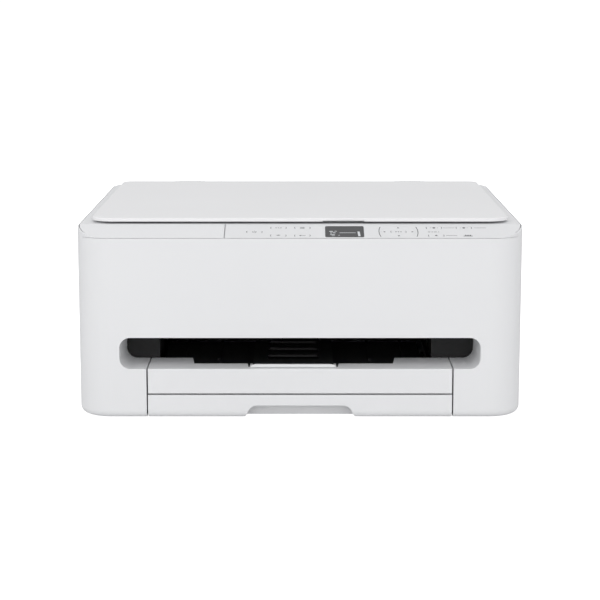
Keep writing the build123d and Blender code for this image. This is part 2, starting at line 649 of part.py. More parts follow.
def pickup_arm():
    """Swinging arm on its own shaft, with two cheeks that carry the roller."""
    shaft = rod_x(PICK_LUGS[0] - 2, PICK_LUGS[1] + 2, PICK_Y, PICK_Z, 2.5)
    run = (PICK_ROLLER_Y - PICK_Y, PICK_ROLLER_Z - PICK_Z)
    length = hypot(*run)
    side_y, side_z = -run[1] / length * 4.2, run[0] / length * 4.2
    parts = [shaft]
    for x in (-25.0, 25.0):
        bar = [
            (PICK_Y + side_y, PICK_Z + side_z),
            (PICK_ROLLER_Y + side_y, PICK_ROLLER_Z + side_z),
            (PICK_ROLLER_Y - side_y, PICK_ROLLER_Z - side_z),
            (PICK_Y - side_y, PICK_Z - side_z),
        ]
        parts.append(prism_x(bar, x - 1.2, x + 1.2))
        parts.append(rod_x(x - 1.2, x + 1.2, PICK_Y, PICK_Z, 4.2))
        parts.append(rod_x(x - 1.2, x + 1.2, PICK_ROLLER_Y, PICK_ROLLER_Z, 4.2))
    parts.append(block(-25, 25, PICK_Y + 8, PICK_Y + 16, PICK_Z - 5.5, PICK_Z - 3.5))
    arm = join(parts)
    return arm - rod_x(-30, 30, PICK_ROLLER_Y, PICK_ROLLER_Z, 2.05)


def pickup_roller():
    """Ribbed rubber roller that pulls the top sheet off the stack."""
    tyre = []
    for rib in range(36):
        radius = PICK_ROLLER_R if rib % 2 == 0 else PICK_ROLLER_R - 0.5
        angle = 2 * pi * rib / 36
        tyre.append((PICK_ROLLER_Y + radius * cos(angle), PICK_ROLLER_Z + radius * sin(angle)))
    return prism_x(tyre, -18, 18) + rod_x(-27, 27, PICK_ROLLER_Y, PICK_ROLLER_Z, 2.0)


NODES["main_frame"] = main_frame()
NODES["pickup_arm"] = pickup_arm()
NODES["pickup_roller"] = pickup_roller()
NODES["carriage_rod"] = rod_x(FRAME_LEFT - 2, FRAME_RIGHT + 2, ROD_Y, ROD_Z, ROD_R)


# ---------------------------------------------------------------- carriage and its drive
CARRIAGE_HALF = 35.0
CARRIAGE_FRONT, CARRIAGE_BACK = -34.0, 36.0
CARRIAGE_LOW, CARRIAGE_HIGH = 80.0, 112.0
HEAD_Z = 67.0
TANKS = 4
TANK_STEP = 16.4
BELT_WIDTH = 5.4
BELT_THICK = 1.2


def carriage():
    """Open pocket for the ink tanks, with a bush on the rod and a clamp on the belt."""
    x0, x1 = PARK_X - CARRIAGE_HALF, PARK_X + CARRIAGE_HALF
    pocket = block(x0, x1, CARRIAGE_FRONT, CARRIAGE_BACK, CARRIAGE_LOW, CARRIAGE_HIGH)
    well = block(x0 + 2, x1 - 2, CARRIAGE_FRONT + 2, CARRIAGE_BACK - 2, CARRIAGE_LOW + 3, 130)
    pocket = pocket - well
    pocket = pocket - block(x0 + 8, x1 - 8, CARRIAGE_FRONT - 1, CARRIAGE_FRONT + 3, 96, 130)
    bush = rod_x(x0 + 4, x1 - 4, ROD_Y, ROD_Z, 5.6)
    web = block(x0 + 4, x1 - 4, CARRIAGE_BACK - 1, ROD_Y, ROD_Z - 3, ROD_Z + 5.4)
    clamp = block(PARK_X - 8, PARK_X + 8, ROD_Y, BELT_Y + 5.5, ROD_Z - 4, ROD_Z + 5.6)
    belt_low = BELT_Z - PULLEY_R - RUN_GAP - BELT_THICK
    bite = block(PARK_X - 9, PARK_X + 9, BELT_Y - 3.2, BELT_Y + 6, belt_low - 0.3, belt_low + 1.5)
    whole = join([pocket, bush, web, clamp]) - bite
    return whole - rod_x(x0 - 5, x1 + 5, ROD_Y, ROD_Z, ROD_R + 0.06)


def print_head():
    """Head block under the carriage with a raised nozzle plate."""
    block_part = block(PARK_X - 24, PARK_X + 24, -26, 14, HEAD_Z + 1, CARRIAGE_LOW)
    nozzle = block(PARK_X - 20, PARK_X + 20, -20, 8, HEAD_Z, HEAD_Z + 1)
    return block_part + nozzle


def ink_tanks():
    """Four ink tanks side by side, each with a latch lever in front."""
    tanks = []
    for index in range(TANKS):
        x = PARK_X + (index - (TANKS - 1) / 2) * TANK_STEP
        tank = block(x - 7.7, x + 7.7, -25, 33, CARRIAGE_LOW + 3, 109)
        tank = tank + block(x - 7.7, x + 7.7, -25, -10, 108, 111.5)
        tank = tank + block(x - 5, x + 5, -31.4, -28.8, 90, 114)
        tanks.append(tank + block(x - 5, x + 5, -30, -24, 88, 91))
    return Compound(children=tanks)


def pulley(x, low, bore):
    """Belt pulley about a Y axis, with two thin flanges."""
    wheel = rod_y(BELT_Y - 3.5, BELT_Y + 3.5, x, BELT_Z, PULLEY_R)
    for y in (BELT_Y - 3.5, BELT_Y + 3.0):
        wheel = wheel + rod_y(y, y + 0.5, x, BELT_Z, PULLEY_R + 2.2)
    if bore:
        return wheel - rod_y(low - 10, BELT_Y + 10, x, BELT_Z, bore)
    return wheel + rod_y(low, FRAME_BACK + 18, x, BELT_Z, 1.5)


def timing_belt():
    """Closed belt round both pulleys."""
    spread = DRIVE_X - IDLER_X
    inner = 2 * (PULLEY_R + RUN_GAP)
    outer = inner + 2 * BELT_THICK
    ring = SlotCenterToCenter(spread, outer) - SlotCenterToCenter(spread, inner)
    middle = (DRIVE_X + IDLER_X) / 2
    placed = Pos(middle, BELT_Y - BELT_WIDTH / 2, BELT_Z) * Rot(90, 0, 0) * ring
    return extrude(placed, amount=BELT_WIDTH, dir=(0, 1, 0))


def carriage_motor():
    """Small motor behind the steel frame."""
    start = FRAME_BACK + SHEET
    can = rod_y(start, start + 26, DRIVE_X, BELT_Z, 12.5)
    can = can + rod_y(start + 26, start + 29, DRIVE_X, BELT_Z, 5.0)
    return can - rod_y(start - 1, start + 19, DRIVE_X, BELT_Z, 1.56)


def feed_motor():
    """Small motor inside the left side plate."""
    start = FRAME_LEFT + SHEET
    can = rod_x(start, start + 26, *PINION_AT, 12.5)
    can = can + rod_x(start + 26, start + 29, *PINION_AT, 5.0)
    return can - rod_x(start - 1, start + 11, *PINION_AT, MOTOR_SHAFT_R + 0.06)


def purge_station():
    """Parking and cleaning station with a rubber cap and a wiper."""
    x0 = PAPER_RIGHT + 1.8
    base = block(x0, INNER_RIGHT, -39, 21, 44, 60)
    base = base - block(x0 + 3, INNER_RIGHT - 3, -36, 18, 52, 61)
    cap = block(PARK_X - 23, PARK_X + 21, -24, 12, 51, HEAD_Z - 0.5)
    cap = cap - block(PARK_X - 20, PARK_X + 18, -21, 9, HEAD_Z - 5, HEAD_Z + 2)
    wiper = block(x0 + 1.2, x0 + 2.6, -24, 12, 58, HEAD_Z - 0.4)
    return join([base, cap, wiper])


NODES["carriage"] = carriage()
NODES["print_head"] = print_head()
NODES["ink_tanks"] = ink_tanks()
NODES["belt_drive_pulley"] = pulley(DRIVE_X, BELT_Y - 3, None)
NODES["belt_idler_pulley"] = pulley(IDLER_X, BELT_Y - 3, 1.56)
NODES["timing_belt"] = timing_belt()
NODES["carriage_motor"] = carriage_motor()
NODES["feed_motor"] = feed_motor()
NODES["purge_station"] = purge_station()


# ---------------------------------------------------------------- electronics
BOARD = (134.0, 172.0, 74.0, 158.0, 24.0)         # x low, x high, y low, y high, z low


def main_board():
    """Logic board with chips and connectors."""
    x0, x1, y0, y1, z = BOARD
    board = block(x0, x1, y0, y1, z, z + 1.6)
    top = z + 1.5
    chips = [
        block(148, 166, 100, 118, top, top + 2.0),
        block(140, 148, 124, 134, top, top + 1.4),
        block(152, 160, 124, 134, top, top + 1.4),
        block(136, 141, 80, 118, top, top + 7.0),
        block(160, 170, 80, 92, top, top + 9.0),
    ]
    return join([board] + chips)


def power_supply():
    """Boxed power supply with ventilation slots."""
    case = block(-180, -134, 78, 149, 6, 38)
    case = case - block(-178.5, -135.5, 79.5, 147.5, 0, 36.5)
    for y in range(86, 146, 8):
        case = case - block(-174, -140, y, y + 3, 30, 40)
    return case


def power_inlet():
    """Two-pin mains inlet: a recess with two contact pins."""
    x0, x1, z0, z1 = INLET
    x, z = (x0 + x1) / 2, (z0 + z1) / 2
    housing = block(x0, x1, 149.2, BACK - 0.4, z0, z1)
    recess = rod_y(BACK - 16, BACK + 1, x - 4.2, z, 5.2) + rod_y(BACK - 16, BACK + 1, x + 4.2, z, 5.2)
    recess = recess + block(x - 4.2, x + 4.2, BACK - 16, BACK + 1, z - 5.2, z + 5.2)
    housing = housing - recess
    for side in (-1, 1):
        housing = housing + rod_y(BACK - 17, BACK - 5, x + side * 4.3, z, 1.2)
    return housing


def usb_port():
    """Square USB socket with its tongue."""
    x0, x1, z0, z1 = USB
    shell = block(x0, x1, BACK - 17, BACK - 0.6, z0, z1)
    shell = shell - block(x0 + 1.6, x1 - 1.6, BACK - 11, BACK + 1, z0 + 1.6, z1 - 1.6)
    middle = (z0 + z1) / 2
    return shell + block(x0 + 3.4, x1 - 3.4, BACK - 12, BACK - 3, middle - 1.6, middle + 1.6)


NODES["main_board"] = main_board()
NODES["power_supply"] = power_supply()
NODES["power_inlet"] = power_inlet()
NODES["usb_port"] = usb_port()


# ---------------------------------------------------------------- scanner unit
SCAN_LOW = 126.0
SKIRT_LOW = 148.0
TOP_PLATE = 2.4
PANEL_LEFT = -62.3
PANEL_THICK = 2.6
PANEL_SEAM = 0.9
PANEL_END = 30.0            # up the slope, under the document cover's front edge
GLASS_HALF_X, GLASS_HALF_Y = 155.0, 111.0
GLASS_LOW, GLASS_HIGH = 157.8, 160.6
SCAN_PARK_X, SCAN_ROD_Z = -160.0, 138.0
LID_XS = (-110.0, 110.0)

scanner_rear = HINGE_Y + HINGE_R
full_width = (-SIDE - 1, SIDE + 1)
above_crease = block(*full_width, FRONT - 1, scanner_rear, CREASE_Z + 0.25, SHOULDER_Z + 1)
inside_rim = plan_block(SIDE - SCANNER_HALF, CREASE_Z, SHOULDER_Z + 1)
nose = block(*full_width, FRONT - 1, RIM_FRONT_Y, CREASE_Z, SHOULDER_Z + 1)
skirt = plan_block(3.2, SKIRT_LOW, CREASE_Z + 1) & block(*full_width, FRONT, scanner_rear, 0, 200)
SCANNER = (OUTER & above_crease & (inside_rim + nose)) + skirt
rear_corner = block(*full_width, HINGE_Y, HINGE_Y + 9, HINGE_Z, HINGE_Z + 9)
for side in (-1, 1):
    corner_x = sorted((side * CORNER_X, side * (SIDE + 1)))
    SCANNER = SCANNER - block(*corner_x, HINGE_Y - 5.5, BACK, 0, SHOULDER_Z + 5)
SCANNER = SCANNER - (rear_corner - rod_x(-SIDE - 2, SIDE + 2, HINGE_Y, HINGE_Z, HINGE_R))


def strip_slab(left, deep, end):
    """Slab under the strip's face, from a left edge to past the right end of the body."""
    width = SIDE + 5 - left
    middle = (left + SIDE + 5) / 2
    return on_strip(Box(width, end + 6, 12 + deep), middle, (end - 6) / 2, (12 - deep) / 2)


def scanner_frame():
    """Top frame around the glass, with the sloped nose that carries the controls."""
    nose_thick = 5.0 / cos(STRIP_ANGLE * pi / 180)
    lean = tan(STRIP_ANGLE * pi / 180)
    ceiling = SHOULDER_Z - TOP_PLATE
    front = FRONT + 5.6
    room = [
        (front, SKIRT_LOW - 1),
        (front, CREASE_Z + 5.6 * lean - nose_thick),
        (FRONT + (ceiling - CREASE_Z + nose_thick) / lean, ceiling),
        (151.5, ceiling),
        (151.5, SKIRT_LOW - 1),
    ]
    frame = SCANNER - (prism_x(room, *full_width) & plan_block(5.6, 0, 200))
    frame = frame - block(-152, 152, -108, 108, 150, 170)
    x, y = GLASS_HALF_X + 0.2, GLASS_HALF_Y + 0.2
    frame = frame - block(-x, x, -y, y, 150, GLASS_HIGH)
    frame = frame - strip_slab(PANEL_LEFT - PANEL_SEAM, PANEL_THICK + 0.15, PANEL_END + 0.3)
    frame = frame - on_strip(Box(212, 23.5, 30), 50, 13.6, -10)
    for x in (-132.0, 132.0):
        frame = frame - block(x - 3, x + 3, 150.9, 170, 140, 170)
        frame = frame + rod_x(x - 4, x + 4, HINGE_Y, HINGE_Z, 1.5)
    for x in LID_XS:
        frame = frame - block(x - 11.5, x + 11.5, LID_Y - 3.4, LID_Y + 3.4, LID_Z - 3.2, 170)
        for side in (-1, 1):
            lug_x = sorted((x + side * 11.6, x + side * 14.9))
            lug = rod_x(*lug_x, LID_Y, LID_Z, 2.5)
            lug = lug + block(*lug_x, LID_Y - 2.5, LID_Y + 2.5, 161, LID_Z)
            frame = frame + (lug - rod_x(lug_x[0] - 1, lug_x[1] + 1, LID_Y, LID_Z, 1.36))
    return frame


def scanner_base():
    """Tub under the glass that holds the scan bar's rod."""
    tub = rounded_z(-177, 177, -165, 150, 16, SCAN_LOW, SKIRT_LOW)
    collar = plan_block(5.2, SKIRT_LOW - 1.8, SKIRT_LOW) & block(*full_width, FRONT, 157, 0, 200)
    hollow = rounded_z(-175, 175, -163, 148, 14, SCAN_LOW + 2, SKIRT_LOW + 1)
    return (tub + collar) - hollow


def platen_glass():
    """Flat glass that the original lies on."""
    return block(-GLASS_HALF_X, GLASS_HALF_X, -GLASS_HALF_Y, GLASS_HALF_Y, GLASS_LOW, GLASS_HIGH)


def scan_bar():
    """Image sensor bar across the glass, on a bush that runs along the rod."""
    x0, x1 = SCAN_PARK_X - 8, SCAN_PARK_X + 8
    bar = block(x0, x1, -112, 112, 146.5, GLASS_LOW - 0.6)
    bar = bar - block(SCAN_PARK_X - 4, SCAN_PARK_X + 4, -109, 109, GLASS_LOW - 2, 170)
    web = block(x0, x1, -9, 9, SCAN_ROD_Z, 147.5)
    bush = rod_x(x0 - 4, x1 + 4, 0, SCAN_ROD_Z, 7.0)
    return join([bar, web, bush]) - rod_x(x0 - 9, x1 + 9, 0, SCAN_ROD_Z, 4.06)


# Control positions on the strip: across, up the slope.
ROW_LOW, ROW_MIDDLE, ROW_HIGH = 5.9, 13.0, 20.8
BUTTONS = {
    "power_button": (-38.0, ROW_MIDDLE),
    "info_button": (-18.0, ROW_HIGH),
    "wireless_button": (-18.0, ROW_LOW),
    "setup_button": (2.0, ROW_HIGH),
    "back_button": (2.0, ROW_LOW),
    "mono_start_button": (112.0, ROW_HIGH),
    "colour_start_button": (137.0, ROW_HIGH),
    "stop_button": (113.0, ROW_LOW),
}
BUTTON_LONG, BUTTON_HIGH = 12.0, 6.4
BUTTON_GAP = 0.14
BUTTON_DEEP = 4.2
NAV_AT = (82.0, 13.2)
NAV_LONG, NAV_HIGH = 28.0, 19.0
OK_LONG, OK_HIGH = 10.4, 6.6
DISPLAY_AT = (37.1, 13.55)
DISPLAY_LONG, DISPLAY_HIGH = 32.2, 21.5


def control_panel():
    """Cover of the control strip, pierced for the keys and recessed for the display."""
    panel = SCANNER & strip_slab(PANEL_LEFT, PANEL_THICK, PANEL_END)
    for across, up in BUTTONS.values():
        hole = pill(BUTTON_LONG + 2 * BUTTON_GAP, BUTTON_HIGH + 2 * BUTTON_GAP, -6, 3)
        panel = panel - on_strip(hole, across, up)
    panel = panel - on_strip(pill(NAV_LONG + 0.3, NAV_HIGH + 0.3, -6, 3), *NAV_AT)
    recess = Box(DISPLAY_LONG + 0.2, DISPLAY_HIGH + 0.2, 2.6)
    recess = fillet(recess.edges().filter_by(Axis.Z), 1.6)
    return panel - on_strip(recess, *DISPLAY_AT)


def push_button(across, up):
    """Pill-shaped key, flush with the panel, with stop ears below it."""
    key = pill(BUTTON_LONG, BUTTON_HIGH, -BUTTON_DEEP, 0)
    ears = Pos(0, 0, -BUTTON_DEEP + 0.5) * Box(BUTTON_LONG + 2.4, BUTTON_HIGH - 2, 1.0)
    return on_strip(key + ears, across, up)


def nav_key():
    """Four-way key in one piece, with a hole for the confirm key."""
    key = pill(NAV_LONG, NAV_HIGH, -BUTTON_DEEP, 0)
    key = key - pill(OK_LONG + 2 * BUTTON_GAP, OK_HIGH + 2 * BUTTON_GAP, -9, 3)
    return on_strip(key, *NAV_AT)


def ok_button():
    """Confirm key in the middle of the four-way key."""
    return on_strip(pill(OK_LONG, OK_HIGH, -BUTTON_DEEP, 0), *NAV_AT)


def display_window():
    """Clear window of the small display."""
    window = Box(DISPLAY_LONG, DISPLAY_HIGH, 1.2)
    window = fillet(window.edges().filter_by(Axis.Z), 1.5)
    return on_strip(window, *DISPLAY_AT, -0.6)


NODES["scanner_frame"] = scanner_frame()
NODES["scanner_base"] = scanner_base()
NODES["platen_glass"] = platen_glass()
NODES["scan_bar"] = scan_bar()
NODES["scan_rod"] = rod_x(-175, 175, 0, SCAN_ROD_Z, 4.0)
NODES["control_panel"] = control_panel()
NODES["display_window"] = display_window()
for name, place in BUTTONS.items():
    NODES[name] = push_button(*place)
NODES["nav_key"] = nav_key()
NODES["ok_button"] = ok_button()


# ---------------------------------------------------------------- document cover
LID_HALF = 176.4
LID_FRONT, LID_REAR = -144.5, 147.5
LID_LOW = 164.0


def document_cover():
    """Flat lid over the glass, with hinge barrels behind and a finger grip in front."""
    lid = rounded_z(-LID_HALF, LID_HALF, LID_FRONT, 60, 18, LID_LOW, HEIGHT)
    lid = lid + rounded_z(-LID_HALF, LID_HALF, 0, LID_REAR, 9, LID_LOW, HEIGHT)
    lid = fillet(lid.faces().sort_by(Axis.Z)[-1].edges(), 1.4)
    lid = lid - prism_x(
        [(LID_FRONT - 1, LID_LOW - 1), (LID_FRONT - 1, 165.4), (-140.5, LID_LOW - 1)], 19, 54
    )
    for x in LID_XS:
        arm = block(x - 11, x + 11, LID_REAR - 1.6, LID_Y, LID_Z + 0.3, LID_Z + 2.6)
        lid = lid + arm
        lid = lid + rod_x(x - 11, x + 11, LID_Y, LID_Z, LID_R)
        lid = lid + rod_x(x - 14.6, x + 14.6, LID_Y, LID_Z, 1.3)
    return lid


def document_pad():
    """White foam pad that presses the original onto the glass."""
    return rounded_z(-149, 149, -105, 105, 4, GLASS_HIGH + 0.6, LID_LOW)


NODES["document_cover"] = document_cover()
NODES["document_pad"] = document_pad()


# ---------------------------------------------------------------- write every piece
os.makedirs("parts", exist_ok=True)
for name, shape in NODES.items():
    export_step(shape, f"parts/{name}.step")
print(len(NODES), "nodes")
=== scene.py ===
"""Looks of a compact inkjet printer: finishes, printed marks, small fittings and a plain studio.

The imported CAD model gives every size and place. Classes below hold one sub-assembly each.
"""

import json
import logging
import math
from dataclasses import dataclass, field
from enum import Enum
from typing import Any, Iterable, Sequence, Union

import bmesh
import bpy
from mathutils import Matrix, Vector

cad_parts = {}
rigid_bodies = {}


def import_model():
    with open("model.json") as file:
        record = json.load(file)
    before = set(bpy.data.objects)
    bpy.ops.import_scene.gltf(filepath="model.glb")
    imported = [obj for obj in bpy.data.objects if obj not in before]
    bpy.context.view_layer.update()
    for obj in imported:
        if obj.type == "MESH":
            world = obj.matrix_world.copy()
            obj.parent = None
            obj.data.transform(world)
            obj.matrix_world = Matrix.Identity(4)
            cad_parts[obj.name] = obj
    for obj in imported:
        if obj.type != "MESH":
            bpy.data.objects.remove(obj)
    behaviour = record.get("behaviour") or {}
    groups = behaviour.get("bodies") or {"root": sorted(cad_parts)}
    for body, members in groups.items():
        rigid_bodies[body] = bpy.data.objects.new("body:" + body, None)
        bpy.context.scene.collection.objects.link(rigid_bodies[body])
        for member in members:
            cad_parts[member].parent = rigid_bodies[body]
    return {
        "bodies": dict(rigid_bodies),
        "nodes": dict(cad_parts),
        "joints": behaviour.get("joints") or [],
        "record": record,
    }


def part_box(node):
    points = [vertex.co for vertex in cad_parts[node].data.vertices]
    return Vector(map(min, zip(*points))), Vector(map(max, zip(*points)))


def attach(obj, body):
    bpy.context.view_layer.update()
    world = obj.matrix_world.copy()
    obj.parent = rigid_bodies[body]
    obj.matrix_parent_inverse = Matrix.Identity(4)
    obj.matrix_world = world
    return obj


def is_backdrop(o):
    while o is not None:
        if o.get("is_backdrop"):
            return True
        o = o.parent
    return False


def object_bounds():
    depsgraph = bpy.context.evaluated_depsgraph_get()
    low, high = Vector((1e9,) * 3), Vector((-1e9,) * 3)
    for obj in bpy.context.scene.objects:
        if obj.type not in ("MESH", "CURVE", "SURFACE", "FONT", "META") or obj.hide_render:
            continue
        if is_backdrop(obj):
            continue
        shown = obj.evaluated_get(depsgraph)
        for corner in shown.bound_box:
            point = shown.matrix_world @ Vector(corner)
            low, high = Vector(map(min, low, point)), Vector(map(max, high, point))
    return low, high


LOG = logging.getLogger("printer")
MM = 0.001
ON_AXIS = 1e-9

Number = Union[int, float]
Point = tuple[float, float]
Colour = tuple[float, float, float]


class Axis(Enum):
    """Direction in which a grain or a brushing runs."""

    ACROSS = 0
    DEEP = 1
    UP = 2


# ------------------------------------------------------------------ shader expressions
class Wire:
    """A node output that can be used in a Python expression on numbers."""

    def __init__(self, sheet: "ShaderSheet", socket: bpy.types.NodeSocket) -> None:
        """Wrap an output socket of a shader sheet."""
        self.sheet = sheet
        self.socket = socket

    def __add__(self, other: "Wire | Number") -> "Wire":
        """Sum of two values."""
        return self.sheet.maths("ADD", self, other)

    __radd__ = __add__

    def __mul__(self, other: "Wire | Number") -> "Wire":
        """Product of two values."""
        return self.sheet.maths("MULTIPLY", self, other)

    __rmul__ = __mul__

    def __sub__(self, other: "Wire | Number") -> "Wire":
        """Difference of two values."""
        return self.sheet.maths("SUBTRACT", self, other)

    def __rsub__(self, other: "Wire | Number") -> "Wire":
        """Difference with the wire on the right."""
        return self.sheet.maths("SUBTRACT", other, self)

    def __gt__(self, other: "Wire | Number") -> "Wire":
        """One where this value is the greater."""
        return self.sheet.maths("GREATER_THAN", self, other)


class ShaderSheet:
    """The node tree of one material, with a Principled shader at its end."""

    def __init__(self, name: str) -> None:
        """Start a material with an empty tree.

        Args:
            name: Name of the new material.
        """
        self.material = bpy.data.materials.new(name)
        self.material.use_nodes = True
        self.tree = self.material.node_tree
        self.tree.nodes.clear()
        self.output = self.tree.nodes.new("ShaderNodeOutputMaterial")

    def node(self, kind: str, settings: dict[str, Any], **inputs: Any) -> bpy.types.Node:
        """Add a node, set it up, then fill its sockets.

        Args:
            kind: Blender's type name of the node.
            settings: Attributes that are set before the sockets; a ramp's two stops are "stops".
            **inputs: Values or wires by socket name, with underscores for spaces, or in0, in1.

        Returns:
            The new node.
        """
        made = self.tree.nodes.new(kind)
        for key, value in settings.items():
            if key == "stops":
                for element, (spot, colour) in zip(made.color_ramp.elements, value):
                    element.position = spot
                    element.color = opaque(colour)
            else:
                setattr(made, key, value)
        for key, value in inputs.items():
            place = int(key[2:]) if key[:2] == "in" and key[2:].isdigit() else key.replace("_", " ")
            socket = made.inputs[place]
            if isinstance(value, Wire):
                self.tree.links.new(value.socket, socket)
            else:
                socket.default_value = value
        return made

    def wire(self, made: bpy.types.Node, output: str | int = 0) -> Wire:
        """Wrap one output of a node."""
        return Wire(self, made.outputs[output])

    def maths(self, operation: str, first: "Wire | Number", second: "Wire | Number") -> Wire:
        """Add a Math node for two values."""
        made = self.node("ShaderNodeMath", {"operation": operation}, in0=first, in1=second)
        return self.wire(made)

    def place(self, stretch: Sequence[float] = (1.0, 1.0, 1.0)) -> Wire:
        """Object coordinates in metres, stretched along each axis.

        Args:
            stretch: Factor along each axis.

        Returns:
            The stretched coordinates.
        """
        where = self.wire(self.node("ShaderNodeTexCoord", {}), "Object")
        mapped = self.node("ShaderNodeMapping", {}, Vector=where, Scale=tuple(stretch))
        return self.wire(mapped)

    def noise(self, place: Wire, scale: float, detail: float = 2.0) -> Wire:
        """Noise value from zero to one, with features of about one over the scale."""
        made = self.node("ShaderNodeTexNoise", {}, Vector=place, Scale=scale, Detail=detail)
        return self.wire(made, 0)

    def blend(self, factor: Wire, first: Any, second: Any) -> Wire:
        """Mix two colours.

        Args:
            factor: Zero gives the first colour and one the second.
            first: A colour or a wire.
            second: A colour or a wire.

        Returns:
            The mixed colour.
        """
        ends = [end if isinstance(end, Wire) else opaque(end) for end in (first, second)]
        settings = {"data_type": "RGBA"}
        made = self.node("ShaderNodeMix", settings, in0=factor, in6=ends[0], in7=ends[1])
        return self.wire(made, 2)

    def bump(self, height: Wire, strength: float, depth: float) -> Wire:
        """Surface relief: a height from zero to one over a depth in metres."""
        made = self.node("ShaderNodeBump", {}, Height=height, Strength=strength, Distance=depth)
        return self.wire(made)

    def principled(self, **inputs: Any) -> bpy.types.Material:
        """Close the tree with a Principled shader.

        Args:
            **inputs: Values or wires by socket name, with underscores for spaces.

        Returns:
            The finished material.
        """
        self.close(self.node("ShaderNodeBsdfPrincipled", {}, **inputs))
        return self.material

    def close(self, shader: bpy.types.Node) -> None:
        """Link the last shader to the output."""
        self.tree.links.new(shader.outputs[0], self.output.inputs["Surface"])


class AirSheet(ShaderSheet):
    """The node tree of the air round the scene."""

    def __init__(self, name: str) -> None:
        """Start a world with an empty tree.

        Args:
            name: Name of the new world.
        """
        world = bpy.data.worlds.new(name)
        bpy.context.scene.world = world
        world.use_nodes = True
        self.tree = world.node_tree
        self.tree.nodes.clear()
        self.output = self.tree.nodes.new("ShaderNodeOutputWorld")


# ------------------------------------------------------------------ finishes
def opaque(colour: Colour) -> tuple[float, float, float, float]:
    """Colour with full cover."""
    return (*colour, 1.0)


def shade(colour: Colour, factor: float) -> Colour:
    """Colour made lighter or darker."""
    return tuple(min(1.0, part * factor) for part in colour)


@dataclass(frozen=True)
class MouldedPlastic:
    """Injection-moulded plastic with a fine spark-eroded texture."""

    name: str
    colour: Colour
    roughness: float = 0.5
    grain: float = 0.00002
    grain_size: float = 0.0007
    uneven: float = 0.02
    sheen: float = 0.5

    def build(self) -> bpy.types.Material:
        """Make the material: a fine grain, slow unevenness and slightly varied gloss.

        Returns:
            The finished material.
        """
        sheet = ShaderSheet(self.name)
        place = sheet.place()
        slow = sheet.noise(place, 9.0, 3.0)
        fine = sheet.noise(place, 1.0 / self.grain_size, 4.0)
        flecks = sheet.noise(place, 2.6 / self.grain_size, 1.0)
        darker = shade(self.colour, 1 - self.uneven)
        lighter = shade(self.colour, 1 + self.uneven)
        colour = sheet.blend(slow, darker, lighter)
        rough = (self.roughness - 0.05) + slow * 0.05 + fine * 0.06
        relief = sheet.bump(fine * 0.7 + flecks * 0.3, 1.0, self.grain)
        return sheet.principled(
            Base_Color=colour, Roughness=rough, Normal=relief, Specular_IOR_Level=self.sheen
        )


@dataclass(frozen=True)
class TwoToneSupport:
    """Support plate in dark plastic whose lip in front is moulded light."""

    name: str
    dark: Colour
    light: Colour
    lip_end_y: float

    def build(self) -> bpy.types.Material:
        """Make the material: the colour changes behind the lip.

        Returns:
            The finished material.
        """
        sheet = ShaderSheet(self.name)
        place = sheet.place()
        parts = sheet.node("ShaderNodeSeparateXYZ", {}, Vector=place)
        behind = sheet.wire(parts, "Y") > self.lip_end_y
        fine = sheet.noise(place, 1500.0, 3.0)
        colour = sheet.blend(behind, self.light, self.dark)
        relief = sheet.bump(fine, 1.0, 0.00002)
        return sheet.principled(Base_Color=colour, Roughness=0.45 + fine * 0.1, Normal=relief)


@dataclass(frozen=True)
class BrushedSteel:
    """Rolled or ground steel with a grain in one direction."""

    name: str
    colour: Colour
    along: Axis = Axis.ACROSS
    roughness: float = 0.34

    def build(self) -> bpy.types.Material:
        """Make the material: long streaks in the colour, the gloss and the relief.

        Returns:
            The finished material.
        """
        sheet = ShaderSheet(self.name)
        stretch = [1.0, 1.0, 1.0]
        stretch[self.along.value] = 0.03
        streaks = sheet.noise(sheet.place(stretch), 2200.0, 3.0)
        clouds = sheet.noise(sheet.place(), 40.0, 4.0)
        colour = sheet.blend(clouds, shade(self.colour, 0.86), shade(self.colour, 1.1))
        rough = (self.roughness - 0.08) + streaks * 0.14 + clouds * 0.06
        relief = sheet.bump(streaks, 0.6, 0.00002)
        return sheet.principled(Base_Color=colour, Metallic=1.0, Roughness=rough, Normal=relief)


@dataclass(frozen=True)
class SoftRubber:
    """Matt rubber with a dusty bloom."""

    name: str
    colour: Colour

    def build(self) -> bpy.types.Material:
        """Make the material: pale bloom in patches over a matt ground.

        Returns:
            The finished material.
        """
        sheet = ShaderSheet(self.name)
        place = sheet.place()
        bloom = sheet.noise(place, 260.0, 5.0)
        fine = sheet.noise(place, 2400.0, 2.0)
        colour = sheet.blend(bloom, self.colour, shade(self.colour, 1.7))
        relief = sheet.bump(fine, 0.8, 0.00004)
        return sheet.principled(Base_Color=colour, Roughness=0.78 + bloom * 0.14, Normal=relief)


@dataclass(frozen=True)
class ClearGlass:
    """Float glass with a faint green body."""

    name: str
    colour: Colour

    def build(self) -> bpy.types.Material:
        """Make the material: clear, with faint smears in the gloss.

        Returns:
            The finished material.
        """
        sheet = ShaderSheet(self.name)
        smears = sheet.noise(sheet.place(), 14.0, 5.0)
        return sheet.principled(
            Base_Color=opaque(self.colour),
            Roughness=0.01 + smears * 0.03,
            IOR=1.52,
            Transmission_Weight=1.0,
        )


@dataclass(frozen=True)
class DisplayFace:
    """Dark display behind a smooth clear window."""

    name: str
    colour: Colour

    def build(self) -> bpy.types.Material:
        """Make the material: a nearly even dark ground under a glossy coat.

        Returns:
            The finished material.
        """
        sheet = ShaderSheet(self.name)
        place = sheet.place()
        cloud = sheet.noise(place, 60.0, 2.0)
        colour = sheet.blend(cloud, shade(self.colour, 0.92), shade(self.colour, 1.1))
        rough = 0.28 + cloud * 0.04
        return sheet.principled(Base_Color=colour, Roughness=rough, Coat_Roughness=0.05)


